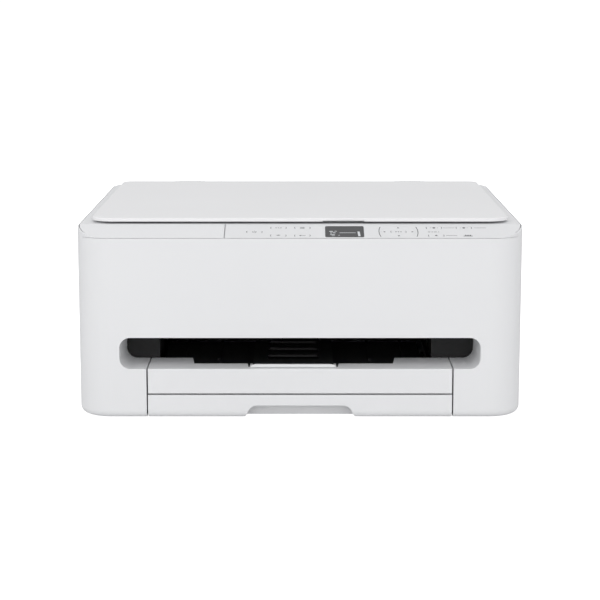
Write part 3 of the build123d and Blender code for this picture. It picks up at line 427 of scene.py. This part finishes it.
@dataclass(frozen=True)
class CircuitBoard:
    """Solder resist with copper runs that show through."""

    name: str
    colour: Colour

    def build(self) -> bpy.types.Material:
        """Make the material: fine cells read as runs under the green resist.

        Returns:
            The finished material.
        """
        sheet = ShaderSheet(self.name)
        place = sheet.place()
        cell_kind = {"distance": "MANHATTAN", "feature": "F1"}
        cells = sheet.node("ShaderNodeTexVoronoi", cell_kind, Vector=place, Scale=320.0)
        runs = sheet.wire(cells, "Distance") > 0.55
        colour = sheet.blend(runs, self.colour, shade(self.colour, 2.1))
        relief = sheet.bump(runs, 0.5, 0.00003)
        return sheet.principled(Base_Color=colour, Roughness=0.32 + runs * 0.12, Normal=relief)


@dataclass(frozen=True)
class PadFilm:
    """White foam with a soft film, faintly dimpled."""

    name: str
    colour: Colour

    def build(self) -> bpy.types.Material:
        """Make the material: a dimpled relief and slight yellowing in patches.

        Returns:
            The finished material.
        """
        sheet = ShaderSheet(self.name)
        place = sheet.place()
        cell_kind = {"feature": "SMOOTH_F1"}
        dimples = sheet.node("ShaderNodeTexVoronoi", cell_kind, Vector=place, Scale=420.0)
        patches = sheet.noise(place, 12.0, 3.0)
        colour = sheet.blend(patches, self.colour, shade(self.colour, 0.95))
        relief = sheet.bump(sheet.wire(dimples, "Distance"), 0.7, 0.0001)
        return sheet.principled(Base_Color=colour, Roughness=0.7 + patches * 0.08, Normal=relief)


@dataclass(frozen=True)
class PrintedInk:
    """Pad-printed mark: flat ink with a slightly broken edge tone."""

    name: str
    colour: Colour
    glow: float = 0.0

    def build(self) -> bpy.types.Material:
        """Make the material; a lit mark also gives off a little light.

        Returns:
            The finished material.
        """
        sheet = ShaderSheet(self.name)
        speckle = sheet.noise(sheet.place(), 5200.0, 2.0)
        colour = sheet.blend(speckle, shade(self.colour, 0.94), shade(self.colour, 1.06))
        return sheet.principled(
            Base_Color=colour,
            Roughness=0.42 + speckle * 0.1,
            Emission_Color=opaque(self.colour),
            Emission_Strength=self.glow,
        )


# ------------------------------------------------------------------ mesh making
class MeshMaker:
    """Builds one mesh object from outlines, in metres."""

    def __init__(self, name: str) -> None:
        """Start an empty mesh for a piece.

        Args:
            name: Name of the piece.
        """
        self.name = name
        self.bm = bmesh.new()

    def slab(self, outline: Sequence[Vector], out: Vector, thick: float) -> None:
        """Add a flat shape with a thickness.

        Args:
            outline: Corners in order round the shape.
            out: Unit direction in which it is thick.
            thick: Thickness in metres.
        """
        low = [self.bm.verts.new(point) for point in outline]
        high = [self.bm.verts.new(point + out * thick) for point in outline]
        self.bm.faces.new(list(reversed(low)))
        self.bm.faces.new(high)
        count = len(outline)
        for index in range(count):
            after = (index + 1) % count
            self.bm.faces.new((low[index], low[after], high[after], high[index]))

    def lathe(self, profile: Sequence[Point], place: Matrix, turns: int = 32) -> None:
        """Add a closed turned shape.

        Args:
            profile: Radius and height pairs from axis to axis.
            place: Puts the shape's Z axis where it belongs.
            turns: Number of steps round.
        """
        rings: list[list[bmesh.types.BMVert]] = []
        for radius, height in profile:
            if radius < ON_AXIS:
                rings.append([self.bm.verts.new(place @ Vector((0, 0, height)))])
                continue
            ring = []
            for step in range(turns):
                angle = 2 * math.pi * step / turns
                spot = Vector((radius * math.cos(angle), radius * math.sin(angle), height))
                ring.append(self.bm.verts.new(place @ spot))
            rings.append(ring)
        for lower, upper in zip(rings, rings[1:]):
            self._bridge(lower, upper, turns)

    def _bridge(self, lower: list[Any], upper: list[Any], turns: int) -> None:
        """Join two rings, either of which may be a single point.

        Args:
            lower: Corners of the lower ring.
            upper: Corners of the upper ring.
            turns: Number of steps round.
        """
        for step in range(turns):
            after = (step + 1) % turns
            if len(lower) == 1:
                self.bm.faces.new((lower[0], upper[step], upper[after]))
            elif len(upper) == 1:
                self.bm.faces.new((lower[step], lower[after], upper[0]))
            else:
                self.bm.faces.new((lower[step], lower[after], upper[after], upper[step]))

    def finish(
        self, material: bpy.types.Material, body: str, slot: str, smooth: bool = False
    ) -> bpy.types.Object:
        """Make the object, dress it and let it ride on a body.

        Args:
            material: Finish of the piece.
            body: CAD body that it moves with.
            slot: Material slot of the record; not used.
            smooth: Whether faces are shaded smooth.

        Returns:
            The finished piece.
        """
        bmesh.ops.recalc_face_normals(self.bm, faces=self.bm.faces)
        mesh = bpy.data.meshes.new(self.name)
        self.bm.to_mesh(mesh)
        self.bm.free()
        for face in mesh.polygons:
            face.use_smooth = smooth
        piece = bpy.data.objects.new(self.name, mesh)
        bpy.context.scene.collection.objects.link(piece)
        mesh.materials.append(material)
        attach(piece, body)
        LOG.info("piece %s rides on %s", self.name, body)
        return piece


def arc_points(centre: Point, radius: float, start: float, end: float, steps: int) -> list[Point]:
    """Points along an arc, angles in degrees.

    Args:
        centre: Centre of the arc.
        radius: Radius of the arc.
        start: First angle.
        end: Last angle.
        steps: Number of steps along the arc.

    Returns:
        The points in order.
    """
    points = []
    for step in range(steps + 1):
        angle = math.radians(start + (end - start) * step / steps)
        points.append((centre[0] + radius * math.cos(angle), centre[1] + radius * math.sin(angle)))
    return points


def ring_piece(
    centre: Point, radius: float, width: float, start: float, end: float, steps: int = 12
) -> list[Point]:
    """Outline of a part of a ring, for a curved stroke of even width.

    Args:
        centre: Centre of the ring.
        radius: Radius of the stroke's middle.
        width: Width of the stroke.
        start: First angle.
        end: Last angle.
        steps: Number of steps along the arc.

    Returns:
        The corners in order.
    """
    outer = arc_points(centre, radius + width / 2, start, end, steps)
    inner = arc_points(centre, radius - width / 2, start, end, steps)
    return outer + inner[::-1]


def bar_outline(centre: Point, long: float, high: float) -> list[Point]:
    """Outline of a bar with rounded ends.

    Args:
        centre: Centre of the bar.
        long: Length from end to end.
        high: Height of the bar.

    Returns:
        The corners in order.
    """
    radius = high / 2
    reach = long / 2 - radius
    right = arc_points((centre[0] + reach, centre[1]), radius, -90, 90, 6)
    left = arc_points((centre[0] - reach, centre[1]), radius, 90, 270, 6)
    return right + left


def box_outline(centre: Point, long: float, high: float, lean: float = 0.0) -> list[Point]:
    """Outline of a rectangle, leaning over by a distance at its top.

    Args:
        centre: Centre of the rectangle.
        long: Length of the rectangle.
        high: Height of the rectangle.
        lean: How far the top leans over.

    Returns:
        The corners in order.
    """
    x, y = centre
    return [
        (x - long / 2 - lean / 2, y - high / 2),
        (x + long / 2 - lean / 2, y - high / 2),
        (x + long / 2 + lean / 2, y + high / 2),
        (x - long / 2 + lean / 2, y + high / 2),
    ]


def dress(frame: dict[str, Any], finishes: dict[str, Any], nodes: dict[str, str]) -> None:
    """Give CAD nodes their finishes.

    Args:
        finishes: Built materials by name.
        nodes: Name of the finish for each node.
    """
    for node, finish in nodes.items():
        mesh_object = frame["nodes"][node]
        mesh_object.data.materials.clear()
        mesh_object.data.materials.append(finishes[finish])
        LOG.info("node %s wears %s", node, finish)


# ------------------------------------------------------------------ control strip
@dataclass
class StripPlane:
    """The sloped face that carries the keys, measured from the CAD nodes on it."""

    origin: Vector = field(default_factory=Vector)
    up: Vector = field(default_factory=Vector)
    out: Vector = field(default_factory=Vector)

    @classmethod
    def from_frame(
        cls, frame: dict[str, Any], joint: str, window: str, high: float, start: float
    ) -> "StripPlane":
        """Find the strip's lower front edge from a key's pressing direction and the display window.

        Args:
            joint: Slide of a key, which runs straight into the strip.
            window: Node of the display window, whose face lies in the strip.
            high: Length of the window up the slope, in millimetres.
            start: Distance from the strip's lower edge to the window, in millimetres.

        Returns:
            The plane, with its origin on the strip's lower edge.
        """
        axis = next(item["axis"] for item in frame["joints"] if item["name"] == joint)
        out = -Vector(axis).normalized()
        up = Vector((0.0, out.z, -out.y))
        low_corner, high_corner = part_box(window)
        foot = Vector((0.0, low_corner[1], high_corner[2] - up.z * high * MM))
        return cls(origin=foot - up * (start * MM), up=up, out=out)

    def along(self, height: float) -> float:
        """Distance up the slope, in millimetres, of a point on its face at a height in metres."""
        return (height - self.origin.z) / self.up.z / MM

    def spot(self, across: float, along: float, lift: float = 0.0) -> Vector:
        """Point on the strip, from millimetres across and up the slope."""
        sideways = Vector((across * MM, 0, 0))
        return self.origin + sideways + self.up * (along * MM) + self.out * (lift * MM)

    def outline(self, points: Iterable[Point], lift: float) -> list[Vector]:
        """Outline on the strip from points in millimetres."""
        return [self.spot(across, along, lift) for across, along in points]


class Symbol(Enum):
    """Pictograms that are printed on the keys."""

    POWER = "power"
    DOTS = "dots"
    WAVES = "waves"
    BARS = "bars"
    ARROW = "arrow"
    LOZENGE = "lozenge"
    TRIANGLE = "triangle"


@dataclass
class ControlStrip:
    """Printed marks of the key strip and what the display shows."""

    frame: dict[str, Any]
    finishes: dict[str, Any]
    window_high: float = 21.5
    window_start: float = 2.8
    key_high: float = 6.4
    key_long: float = 12.0
    stroke: float = 0.42
    lift: float = 0.01
    film: float = 0.03
    confirm_half: float = 3.3
    symbols: dict[str, Symbol] = field(
        default_factory=lambda: {
            "power_button": Symbol.POWER,
            "info_button": Symbol.DOTS,
            "wireless_button": Symbol.WAVES,
            "setup_button": Symbol.BARS,
            "back_button": Symbol.ARROW,
            "mono_start_button": Symbol.LOZENGE,
            "colour_start_button": Symbol.LOZENGE,
            "stop_button": Symbol.TRIANGLE,
        }
    )

    def build(self) -> None:
        """Print the strip, every key and the display."""
        plane = StripPlane.from_frame(
            self.frame, "power_key_press", "display_window", self.window_high, self.window_start
        )
        marks = MeshMaker("strip_marks")
        centres: dict[str, Point] = {}
        for node in self.symbols:
            centres[node] = self._key_centre(plane, node)
            self._print_ends(marks, plane, centres[node], self.key_long, self.key_high)
        self._print_labels(marks, plane, centres)
        nav = self._nav_centre(plane)
        self._print_nav_brackets(marks, plane, nav)
        marks.finish(self.finishes["grey_ink"], "scanner", "panel_white")
        for node, symbol in self.symbols.items():
            self._print_symbol(plane, node, symbol, centres[node])
        self._print_nav_key(plane, nav)
        self._show_display(plane)

    def _key_centre(self, plane: StripPlane, node: str) -> Point:
        """Centre of a key on the strip, in millimetres."""
        low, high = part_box(node)
        return (low[0] + high[0]) / 2 / MM, plane.along(high[2]) - self.key_high / 2

    def _nav_centre(self, plane: StripPlane) -> Point:
        """Centre of the four-way key, which the confirm key shares."""
        low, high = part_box("ok_button")
        return (low[0] + high[0]) / 2 / MM, plane.along(high[2]) - self.confirm_half

    def _ink(self, marks: MeshMaker, plane: StripPlane, points: Iterable[Point]) -> None:
        """Lay one printed shape on the strip."""
        marks.slab(plane.outline(points, self.lift), plane.out, self.film * MM)

    def _print_ends(
        self, marks: MeshMaker, plane: StripPlane, centre: Point, long: float, high: float
    ) -> None:
        """Print a curved bracket at each end of a key.

        Args:
            marks: Mesh that takes the printing.
            plane: Face of the key strip.
            centre: Centre of the key.
            long: Length of the key.
            high: Height of the key.
        """
        reach = long / 2 - high / 2
        radius = high / 2 + 0.5
        for side, middle in ((-1, 180), (1, 0)):
            hub = (centre[0] + side * reach, centre[1])
            bracket = ring_piece(hub, radius, self.stroke, middle - 27, middle + 27)
            self._ink(marks, plane, bracket)

    def _print_labels(
        self, marks: MeshMaker, plane: StripPlane, centres: dict[str, Point]
    ) -> None:
        """Print plain label lines beside the right-hand keys and the lamp mark.

        Args:
            marks: Mesh that takes the printing.
            plane: Face of the key strip.
            centres: Centres of the keys by node.
        """
        for node, reach, long in (
            ("mono_start_button", 12.4, 9.6),
            ("colour_start_button", 13.6, 10.2),
            ("stop_button", 12.8, 9.4),
        ):
            across, along = centres[node]
            self._ink(marks, plane, bar_outline((across + reach, along), long, 0.45))
        across, along = centres["mono_start_button"]
        for step, long in enumerate((2.2, 1.6, 2.4, 1.2)):
            spot = (across - 4.4 + step * 2.6, along - 7.9)
            self._ink(marks, plane, bar_outline(spot, long, 0.8))
        lamp = centres["stop_button"][0] + 26.4, centres["stop_button"][1]
        self._ink(marks, plane, box_outline((lamp[0], lamp[1] - 0.9), 7.6, 0.9))
        for step in (-1, 0, 1):
            spot = (lamp[0] + step * 1.9, lamp[1] + 0.5)
            self._ink(marks, plane, box_outline(spot, 1.2, 1.6))

    def _print_nav_brackets(self, marks: MeshMaker, plane: StripPlane, nav: Point) -> None:
        """Print the two tall brackets that frame the four-way key.

        Args:
            marks: Mesh that takes the printing.
            plane: Face of the key strip.
            nav: Centre of the four-way key on the strip.
        """
        for side, middle in ((-1, 180), (1, 0)):
            hub = (nav[0] - side * 19.0, nav[1])
            bracket = ring_piece(hub, 35.2, 0.6, middle - 15.5, middle + 15.5, 20)
            self._ink(marks, plane, bracket)

    def _print_nav_key(self, plane: StripPlane, nav: Point) -> None:
        """Print the four-way key's arrowheads and inner brackets, and the confirm key's dashes.

        Args:
            plane: Face of the key strip.
            nav: Centre of the four-way key on the strip.
        """
        marks = MeshMaker("nav_marks")
        for dx, dy, turn in ((0, 7.6, 90), (0, -7.6, -90), (11.6, 0, 0), (-11.6, 0, 180)):
            corners = arc_points((nav[0] + dx, nav[1] + dy), 1.25, turn, turn + 240, 2)
            self._ink(marks, plane, corners)
        self._print_ends(marks, plane, nav, 11.8, 7.4)
        marks.finish(self.finishes["grey_ink"], "nav", "key_white")
        confirm = MeshMaker("confirm_mark")
        for step in (-1, 0, 1):
            self._ink(confirm, plane, bar_outline((nav[0] + step * 2.1, nav[1]), 1.5, 1.0))
        confirm.finish(self.finishes["grey_ink"], "ok", "key_white")

    def _print_symbol(
        self, plane: StripPlane, node: str, symbol: Symbol, centre: Point
    ) -> None:
        """Print a key's pictogram on its face.

        Args:
            plane: Face of the key strip.
            node: Name of the key's node.
            symbol: Pictogram of the key.
            centre: Centre of the key.
        """
        marks = MeshMaker(f"{node}_mark")
        x, y = centre
        if symbol is Symbol.POWER:
            self._ink(marks, plane, ring_piece(centre, 1.5, 0.4, 120, 420, 20))
            self._ink(marks, plane, box_outline((x, y + 1.3), 0.4, 1.6))
        elif symbol is Symbol.DOTS:
            for step in (-1, 0, 1):
                self._ink(marks, plane, bar_outline((x + 2.0 * step, y), 1.5, 0.8))
        elif symbol is Symbol.WAVES:
            for radius in (0.9, 1.7, 2.5):
                self._ink(marks, plane, ring_piece((x, y - 1.2), radius, 0.35, 45, 135))
        elif symbol is Symbol.BARS:
            for step in (-1, 0, 1):
                bar = bar_outline((x, y + step * 1.1), 4.6 - abs(step), 0.5)
                self._ink(marks, plane, bar)
        elif symbol is Symbol.ARROW:
            self._ink(marks, plane, arc_points((x - 1.6, y), 1.3, 60, 300, 2))
            self._ink(marks, plane, bar_outline((x + 1.0, y), 3.4, 0.5))
        elif symbol is Symbol.LOZENGE:
            self._ink(marks, plane, arc_points(centre, 1.5, 0, 270, 3))
            for side in (-1, 1):
                self._ink(marks, plane, bar_outline((x + side * 2.9, y), 1.3, 0.45))
        else:
            self._ink(marks, plane, arc_points(centre, 1.6, 90, 330, 2))
        body = node.replace("_button", "_key")
        marks.finish(self.finishes["grey_ink"], body, "key_white")

    def _show_display(self, plane: StripPlane) -> None:
        """Lay the display's lit segments on the window's face.

        Args:
            plane: Face of the key strip.
        """
        low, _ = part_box("display_window")
        left = low[0] / MM
        glyphs = MeshMaker("display_glyphs")
        for x, y, long, tall in (
            (5.0, 14.0, 3.2, 1.6),
            (8.6, 14.4, 2.4, 1.0),
            (4.8, 10.9, 1.4, 2.6),
            (7.4, 11.2, 2.8, 1.5),
            (6.0, 7.8, 4.2, 1.3),
            (6.6, 5.4, 3.0, 0.9),
        ):
            self._ink(glyphs, plane, bar_outline((left + x, y), long, tall * 0.8))
        self._ink(glyphs, plane, bar_outline((left + 18.6, 11.3), 13.6, 0.7))
        self._ink(glyphs, plane, bar_outline((left + 11.4, 6.6), 1.6, 0.6))
        self._ink(glyphs, plane, box_outline((left + 28.0, 9.2), 1.9, 9.0, -0.6))
        glyphs.finish(self.finishes["lit_segment"], "scanner", "display")


# ------------------------------------------------------------------ fittings
@dataclass
class CrossScrew:
    """Pan head of a screw, without its recess."""

    radius: float = 3.2
    height: float = 1.5
    skirt: float = 0.35
    turns: int = 28

    def add(self, maker: MeshMaker, spot: Vector, out: Vector) -> None:
        """Add a domed head to a mesh.

        Args:
            maker: Mesh that takes the head.
            spot: Centre of the head on the surface.
            out: Direction in which it stands out.
        """
        turn = out.to_track_quat("Z", "Y").to_matrix().to_4x4()
        place = Matrix.Translation(spot) @ turn
        r, h = self.radius * MM, self.height * MM
        rise = 1 - self.skirt
        dome = [(0.0, 0.0), (r, 0.0), (r, h * self.skirt)]
        for angle in (0.4, 0.8, 1.2):
            dome.append((r * math.cos(angle), h * (self.skirt + rise * math.sin(angle))))
        dome.append((0.0, h))
        maker.lathe(dome, place, self.turns)


@dataclass
class RearFittings:
    """Screws in the back panel and underneath, their cross recesses shown by painted shade."""

    finishes: dict[str, Any]
    screw: CrossScrew = field(default_factory=CrossScrew)
    back_inset: float = 34.0
    back_heights: Point = (92.0, 16.0)
    floor_inset: Point = (22.0, 60.0)
    floor_flat: float = 0.6
    # The arms are thin dark slabs laid on each head, painted shade for its cross recess.
    arm_long: float = 1.7
    arm_wide: float = 0.28
    arm_thick: float = 0.12
    arm_level: float = 0.93

    def build(self) -> None:
        """Put screws in the back panel and in the floor."""
        low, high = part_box("rear_panel")
        back = MeshMaker("back_screws")
        recess_shade = MeshMaker("back_screw_recess_shade")
        inset = self.back_inset * MM
        above, below = self.back_heights
        for x in (low[0] + inset, high[0] - inset):
            for z in (low[2] + above * MM, high[2] - below * MM):
                self._screw(back, recess_shade, Vector((x, high[1], z)), Vector((0, 1, 0)))
        back.finish(self.finishes["screw_steel"], "chassis", "shaft_steel", smooth=True)
        recess_shade.finish(self.finishes["socket_black"], "chassis", "socket_black")
        floor_low, floor_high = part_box("base_tray")
        under = MeshMaker("floor_screws")
        under_recess_shade = MeshMaker("floor_screw_recess_shade")
        side, end = (part * MM for part in self.floor_inset)
        for x in (floor_low[0] + side, 0.0, floor_high[0] - side):
            for y in (floor_low[1] + end, floor_high[1] - end):
                spot = Vector((x, y, floor_low[2]))
                self._screw(under, under_recess_shade, spot, Vector((0, 0, -1)), self.floor_flat)
        under.finish(self.finishes["screw_steel"], "chassis", "shaft_steel", smooth=True)
        under_recess_shade.finish(self.finishes["socket_black"], "chassis", "socket_black")

    def _screw(
        self, heads: MeshMaker, recess_shade: MeshMaker, spot: Vector, out: Vector, flat: float = 1.0
    ) -> None:
        """Add one head and two dark arms on its top, painted shade for its cross recess.

        Args:
            heads: Mesh that takes the head.
            recess_shade: Mesh that takes the dark arms, the painted shade of the recess.
            spot: Centre of the head on the surface.
            out: Direction in which it stands out.
            flat: Factor on the head's height.
        """
        head = CrossScrew(self.screw.radius, self.screw.height * flat)
        head.add(heads, spot, out)
        side = out.orthogonal().normalized()
        other = out.cross(side)
        top = spot + out * (head.height * self.arm_level * MM)
        # Painted shade: two thin dark slabs just under the top of the head stand in for the shaded
        # cross recess.
        for first, second in ((side, other), (other, side)):
            a, b = first * (self.arm_long * MM), second * (self.arm_wide * MM)
            corners = [top - a - b, top + a - b, top + a + b, top - a + b]
            recess_shade.slab(corners, out, self.arm_thick * MM)


@dataclass
class TankLabels:
    """Colour bands on the four ink tanks."""

    finishes: dict[str, Any]
    inks: Sequence[str] = ("ink_band_dark", "ink_band_blue", "ink_band_red", "ink_band_yellow")
    step: float = 16.4
    long: float = 12.0
    high: float = 9.0
    thick: float = 0.15
    below_top: float = 2.5
    behind_front: float = 14.0

    def build(self) -> None:
        """Lay a band on top of each tank."""
        low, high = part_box("ink_tanks")
        middle = (low[0] + high[0]) / 2
        y = low[1] + self.behind_front * MM
        deck = high[2] - self.below_top * MM
        for index, ink in enumerate(self.inks):
            x = middle + (index - (len(self.inks) - 1) / 2) * self.step * MM
            corners = box_outline((0, 0), self.long, self.high)
            outline = [Vector((x + dx * MM, y + dy * MM, deck)) for dx, dy in corners]
            band = MeshMaker(f"tank_band_{index + 1}")
            band.slab(outline, Vector((0, 0, 1)), self.thick * MM)
            band.finish(self.finishes[ink], "carriage_unit", "ink_black")


# ------------------------------------------------------------------ studio
@dataclass(frozen=True)
class Softbox:
    """Square area lamp: where it hangs and how wide it is, in metres, and its power in watts."""

    name: str
    spot: tuple[float, float, float]
    size: float
    power: float

    def hang(self, aim: Sequence[float]) -> None:
        """Hang the lamp so that it points at a spot.

        Args:
            aim: Where the lamp points, in metres.
        """
        light = bpy.data.lights.new(self.name, "AREA")
        light.size = self.size
        light.energy = self.power
        lamp = bpy.data.objects.new(self.name, light)
        lamp.location = self.spot
        towards = Vector(aim) - Vector(self.spot)
        lamp.rotation_euler = towards.to_track_quat("-Z", "Y").to_euler()
        bpy.context.scene.collection.objects.link(lamp)


@dataclass
class Studio:
    """Pale floor, soft light from all round and a camera straight in front."""

    lens: float = 108.0
    distance: float = 1.474
    height: float = 0.3592
    pitch: float = 9.9
    sensor: float = 36.0
    floor_size: float = 9.0
    floor_dark: Colour = (0.68, 0.68, 0.685)
    floor_pale: Colour = (0.72, 0.72, 0.72)
    glow_unseen: Colour = (0.06, 0.06, 0.06)
    glow_seen: Colour = (1.0, 1.0, 1.0)
    air_level: Colour = (0.97, 0.97, 0.97)
    air_overhead: Colour = (0.93, 0.93, 0.94)
    air_strength: float = 0.8
    backdrop: Colour = (1.0, 1.0, 1.0)
    backdrop_strength: float = 1.05
    aim: Sequence[float] = (0.0, 0.0, 0.08)
    lamps: Sequence[Softbox] = (
        Softbox("front_softbox", (0.0, -2.6, 1.5), 2.6, 25.0),
        Softbox("left_softbox", (-2.4, -1.4, 1.6), 1.6, 5.0),
        Softbox("right_softbox", (2.4, -1.2, 1.8), 1.6, 0.6),
    )

    def build(self, front_y: float) -> None:
        """Set up the floor, the world, the lamps and the camera.

        Args:
            front_y: Where the object's front face is, in metres.
        """
        self._floor()
        self._world()
        for lamp in self.lamps:
            lamp.hang(self.aim)
        self._camera(front_y)

    def _floor(self) -> None:
        """Lay a large pale sheet on the ground."""
        half = self.floor_size / 2
        corners = [(-half, -half, 0), (half, -half, 0), (half, half, 0), (-half, half, 0)]
        mesh = bpy.data.meshes.new("floor")
        mesh.from_pydata(corners, [], [(0, 1, 2, 3)])
        floor = bpy.data.objects.new("floor", mesh)
        bpy.context.scene.collection.objects.link(floor)
        sheet = ShaderSheet("floor_paper")
        fibre = sheet.noise(sheet.place(), 30.0, 4.0)
        colour = sheet.blend(fibre, self.floor_dark, self.floor_pale)
        seen = sheet.wire(sheet.node("ShaderNodeLightPath", {}), "Is Camera Ray")
        glow = sheet.blend(seen, self.glow_unseen, self.glow_seen)
        material = sheet.principled(
            Base_Color=colour,
            Roughness=fibre * 0.05 + 0.9,
            Emission_Color=glow,
            Emission_Strength=1.0,
            Specular_IOR_Level=0.0,
        )
        mesh.materials.append(material)
        floor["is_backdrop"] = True

    def _world(self) -> None:
        """Light the whole room softly, dimmer overhead; the camera sees a plain backdrop."""
        sheet = AirSheet("studio_air")
        where = sheet.wire(sheet.node("ShaderNodeTexCoord", {}), "Generated")
        height = sheet.wire(sheet.node("ShaderNodeSeparateXYZ", {}, Vector=where), "Z")
        stops = ((0.0, self.air_level), (1.0, self.air_overhead))
        tint = sheet.wire(sheet.node("ShaderNodeValToRGB", {"stops": stops}, in0=height))
        air = sheet.node("ShaderNodeBackground", {}, Color=tint, Strength=self.air_strength)
        plain_air = {"Color": opaque(self.backdrop), "Strength": self.backdrop_strength}
        clear = sheet.node("ShaderNodeBackground", {}, **plain_air)
        seen = sheet.wire(sheet.node("ShaderNodeLightPath", {}), "Is Camera Ray")
        choice = {"in0": seen, "in1": sheet.wire(air), "in2": sheet.wire(clear)}
        sheet.close(sheet.node("ShaderNodeMixShader", {}, **choice))

    def _camera(self, front_y: float) -> None:
        """Place the camera in front, looking slightly down.

        Args:
            front_y: Where the object's front face is, in metres.
        """
        data = bpy.data.cameras.new("camera")
        data.lens = self.lens
        data.sensor_width = self.sensor
        camera = bpy.data.objects.new("camera", data)
        camera.location = (0.0, front_y - self.distance, self.height)
        camera.rotation_euler = (math.radians(90.0 - self.pitch), 0.0, 0.0)
        bpy.context.scene.collection.objects.link(camera)
        bpy.context.scene.camera = camera


# ------------------------------------------------------------------ the whole printer
FINISHES = (
    MouldedPlastic("white_shell", (0.80, 0.805, 0.815), roughness=0.5),
    MouldedPlastic("lid_white", (0.85, 0.852, 0.86), roughness=0.48),
    MouldedPlastic("panel_white", (0.78, 0.785, 0.795), roughness=0.42, grain=0.000008),
    MouldedPlastic("key_white", (0.785, 0.79, 0.80), roughness=0.4, grain=0.000008),
    MouldedPlastic("dark_plastic", (0.0045, 0.0045, 0.005), roughness=0.6),
    MouldedPlastic("black_plate", (0.006, 0.006, 0.007), roughness=0.6),
    MouldedPlastic("grey_plastic", (0.16, 0.165, 0.17), roughness=0.55),
    MouldedPlastic("tray_grey", (0.5, 0.51, 0.52), roughness=0.5),
    MouldedPlastic("gear_white", (0.7, 0.69, 0.63), roughness=0.38, grain=0.00001),
    MouldedPlastic("ink_black", (0.02, 0.02, 0.024), roughness=0.22, grain=0.000006),
    # Black of the real sockets; on the screw heads the same black is painted shade for the cross
    # recesses.
    MouldedPlastic("socket_black", (0.015, 0.015, 0.016), roughness=0.45),
    TwoToneSupport("support_two_tone", (0.004, 0.004, 0.0045), (0.8, 0.805, 0.81), -0.1645),
    BrushedSteel("sheet_steel", (0.52, 0.53, 0.54), Axis.ACROSS, 0.38),
    BrushedSteel("shaft_steel", (0.62, 0.62, 0.63), Axis.ACROSS, 0.22),
    BrushedSteel("motor_can", (0.45, 0.45, 0.46), Axis.DEEP, 0.3),
    BrushedSteel("screw_steel", (0.4, 0.4, 0.41), Axis.UP, 0.3),
    SoftRubber("rubber", (0.02, 0.02, 0.021)),
    ClearGlass("clear_glass", (0.92, 0.97, 0.95)),
    DisplayFace("display_face", (0.045, 0.046, 0.048)),
    CircuitBoard("circuit_board", (0.01, 0.07, 0.03)),
    PadFilm("pad_film", (0.8, 0.8, 0.785)),
    PrintedInk("grey_ink", (0.09, 0.09, 0.095)),
    PrintedInk("lit_segment", (0.62, 0.64, 0.66), 0.12),
    PrintedInk("ink_band_dark", (0.05, 0.05, 0.055)),
    PrintedInk("ink_band_blue", (0.02, 0.3, 0.55)),
    PrintedInk("ink_band_red", (0.6, 0.03, 0.2)),
    PrintedInk("ink_band_yellow", (0.75, 0.55, 0.02)),
)

WEAR: dict[str, tuple[str, ...]] = {
    "white_shell": (
        "body_shell", "rear_panel", "rear_cover", "output_front", "cassette_front", "scanner_frame",
    ),
    "lid_white": ("document_cover",),
    "panel_white": ("control_panel",),
    "key_white": (
        "power_button", "info_button", "wireless_button", "setup_button", "back_button",
        "mono_start_button", "colour_start_button", "stop_button", "nav_key", "ok_button",
    ),
    "dark_plastic": (
        "slot_bezel", "upper_guides", "print_platen", "carriage", "print_head", "scan_bar",
    ),
    "black_plate": ("output_tray",),
    "grey_plastic": (
        "base_tray", "scanner_base", "purge_station", "power_supply", "pickup_arm",
        "paper_guide_left", "paper_guide_right", "paper_guide_rear",
    ),
    "tray_grey": ("cassette_tray",),
    "gear_white": (
        "feed_gear", "transfer_gear", "exit_gear", "motor_pinion", "pinch_rollers",
        "belt_drive_pulley", "belt_idler_pulley",
    ),
    "ink_black": ("ink_tanks",),
    "socket_black": ("power_inlet", "usb_port"),
    "support_two_tone": ("output_support",),
    "sheet_steel": ("main_frame",),
    "shaft_steel": ("feed_roller", "carriage_rod", "scan_rod", "star_wheels"),
    "motor_can": ("carriage_motor", "feed_motor"),
    "rubber": ("rubber_feet", "exit_roller", "pickup_roller", "timing_belt"),
    "clear_glass": ("platen_glass",),
    "display_face": ("display_window",),
    "circuit_board": ("main_board",),
    "pad_film": ("document_pad",),
}


def plain(corners: Any) -> list[list[float]]:
    """Two corners as plain lists of numbers."""
    return [[float(value) for value in corner] for corner in corners]


def main() -> None:
    """Load the frame, measure its box, dress it, and add the fittings and the studio."""
    logging.basicConfig(level=logging.INFO, format="%(message)s")
    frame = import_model()
    cad_box = plain(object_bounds())
    bpy.context.scene.view_settings.view_transform = "Standard"
    finishes = {finish.name: finish.build() for finish in FINISHES}
    dress(frame, finishes, {node: name for name, nodes in WEAR.items() for node in nodes})
    Studio().build(cad_box[0][1])
    ControlStrip(frame, finishes).build()
    RearFittings(finishes).build()
    TankLabels(finishes).build()


if __name__ == "__main__":
    main()
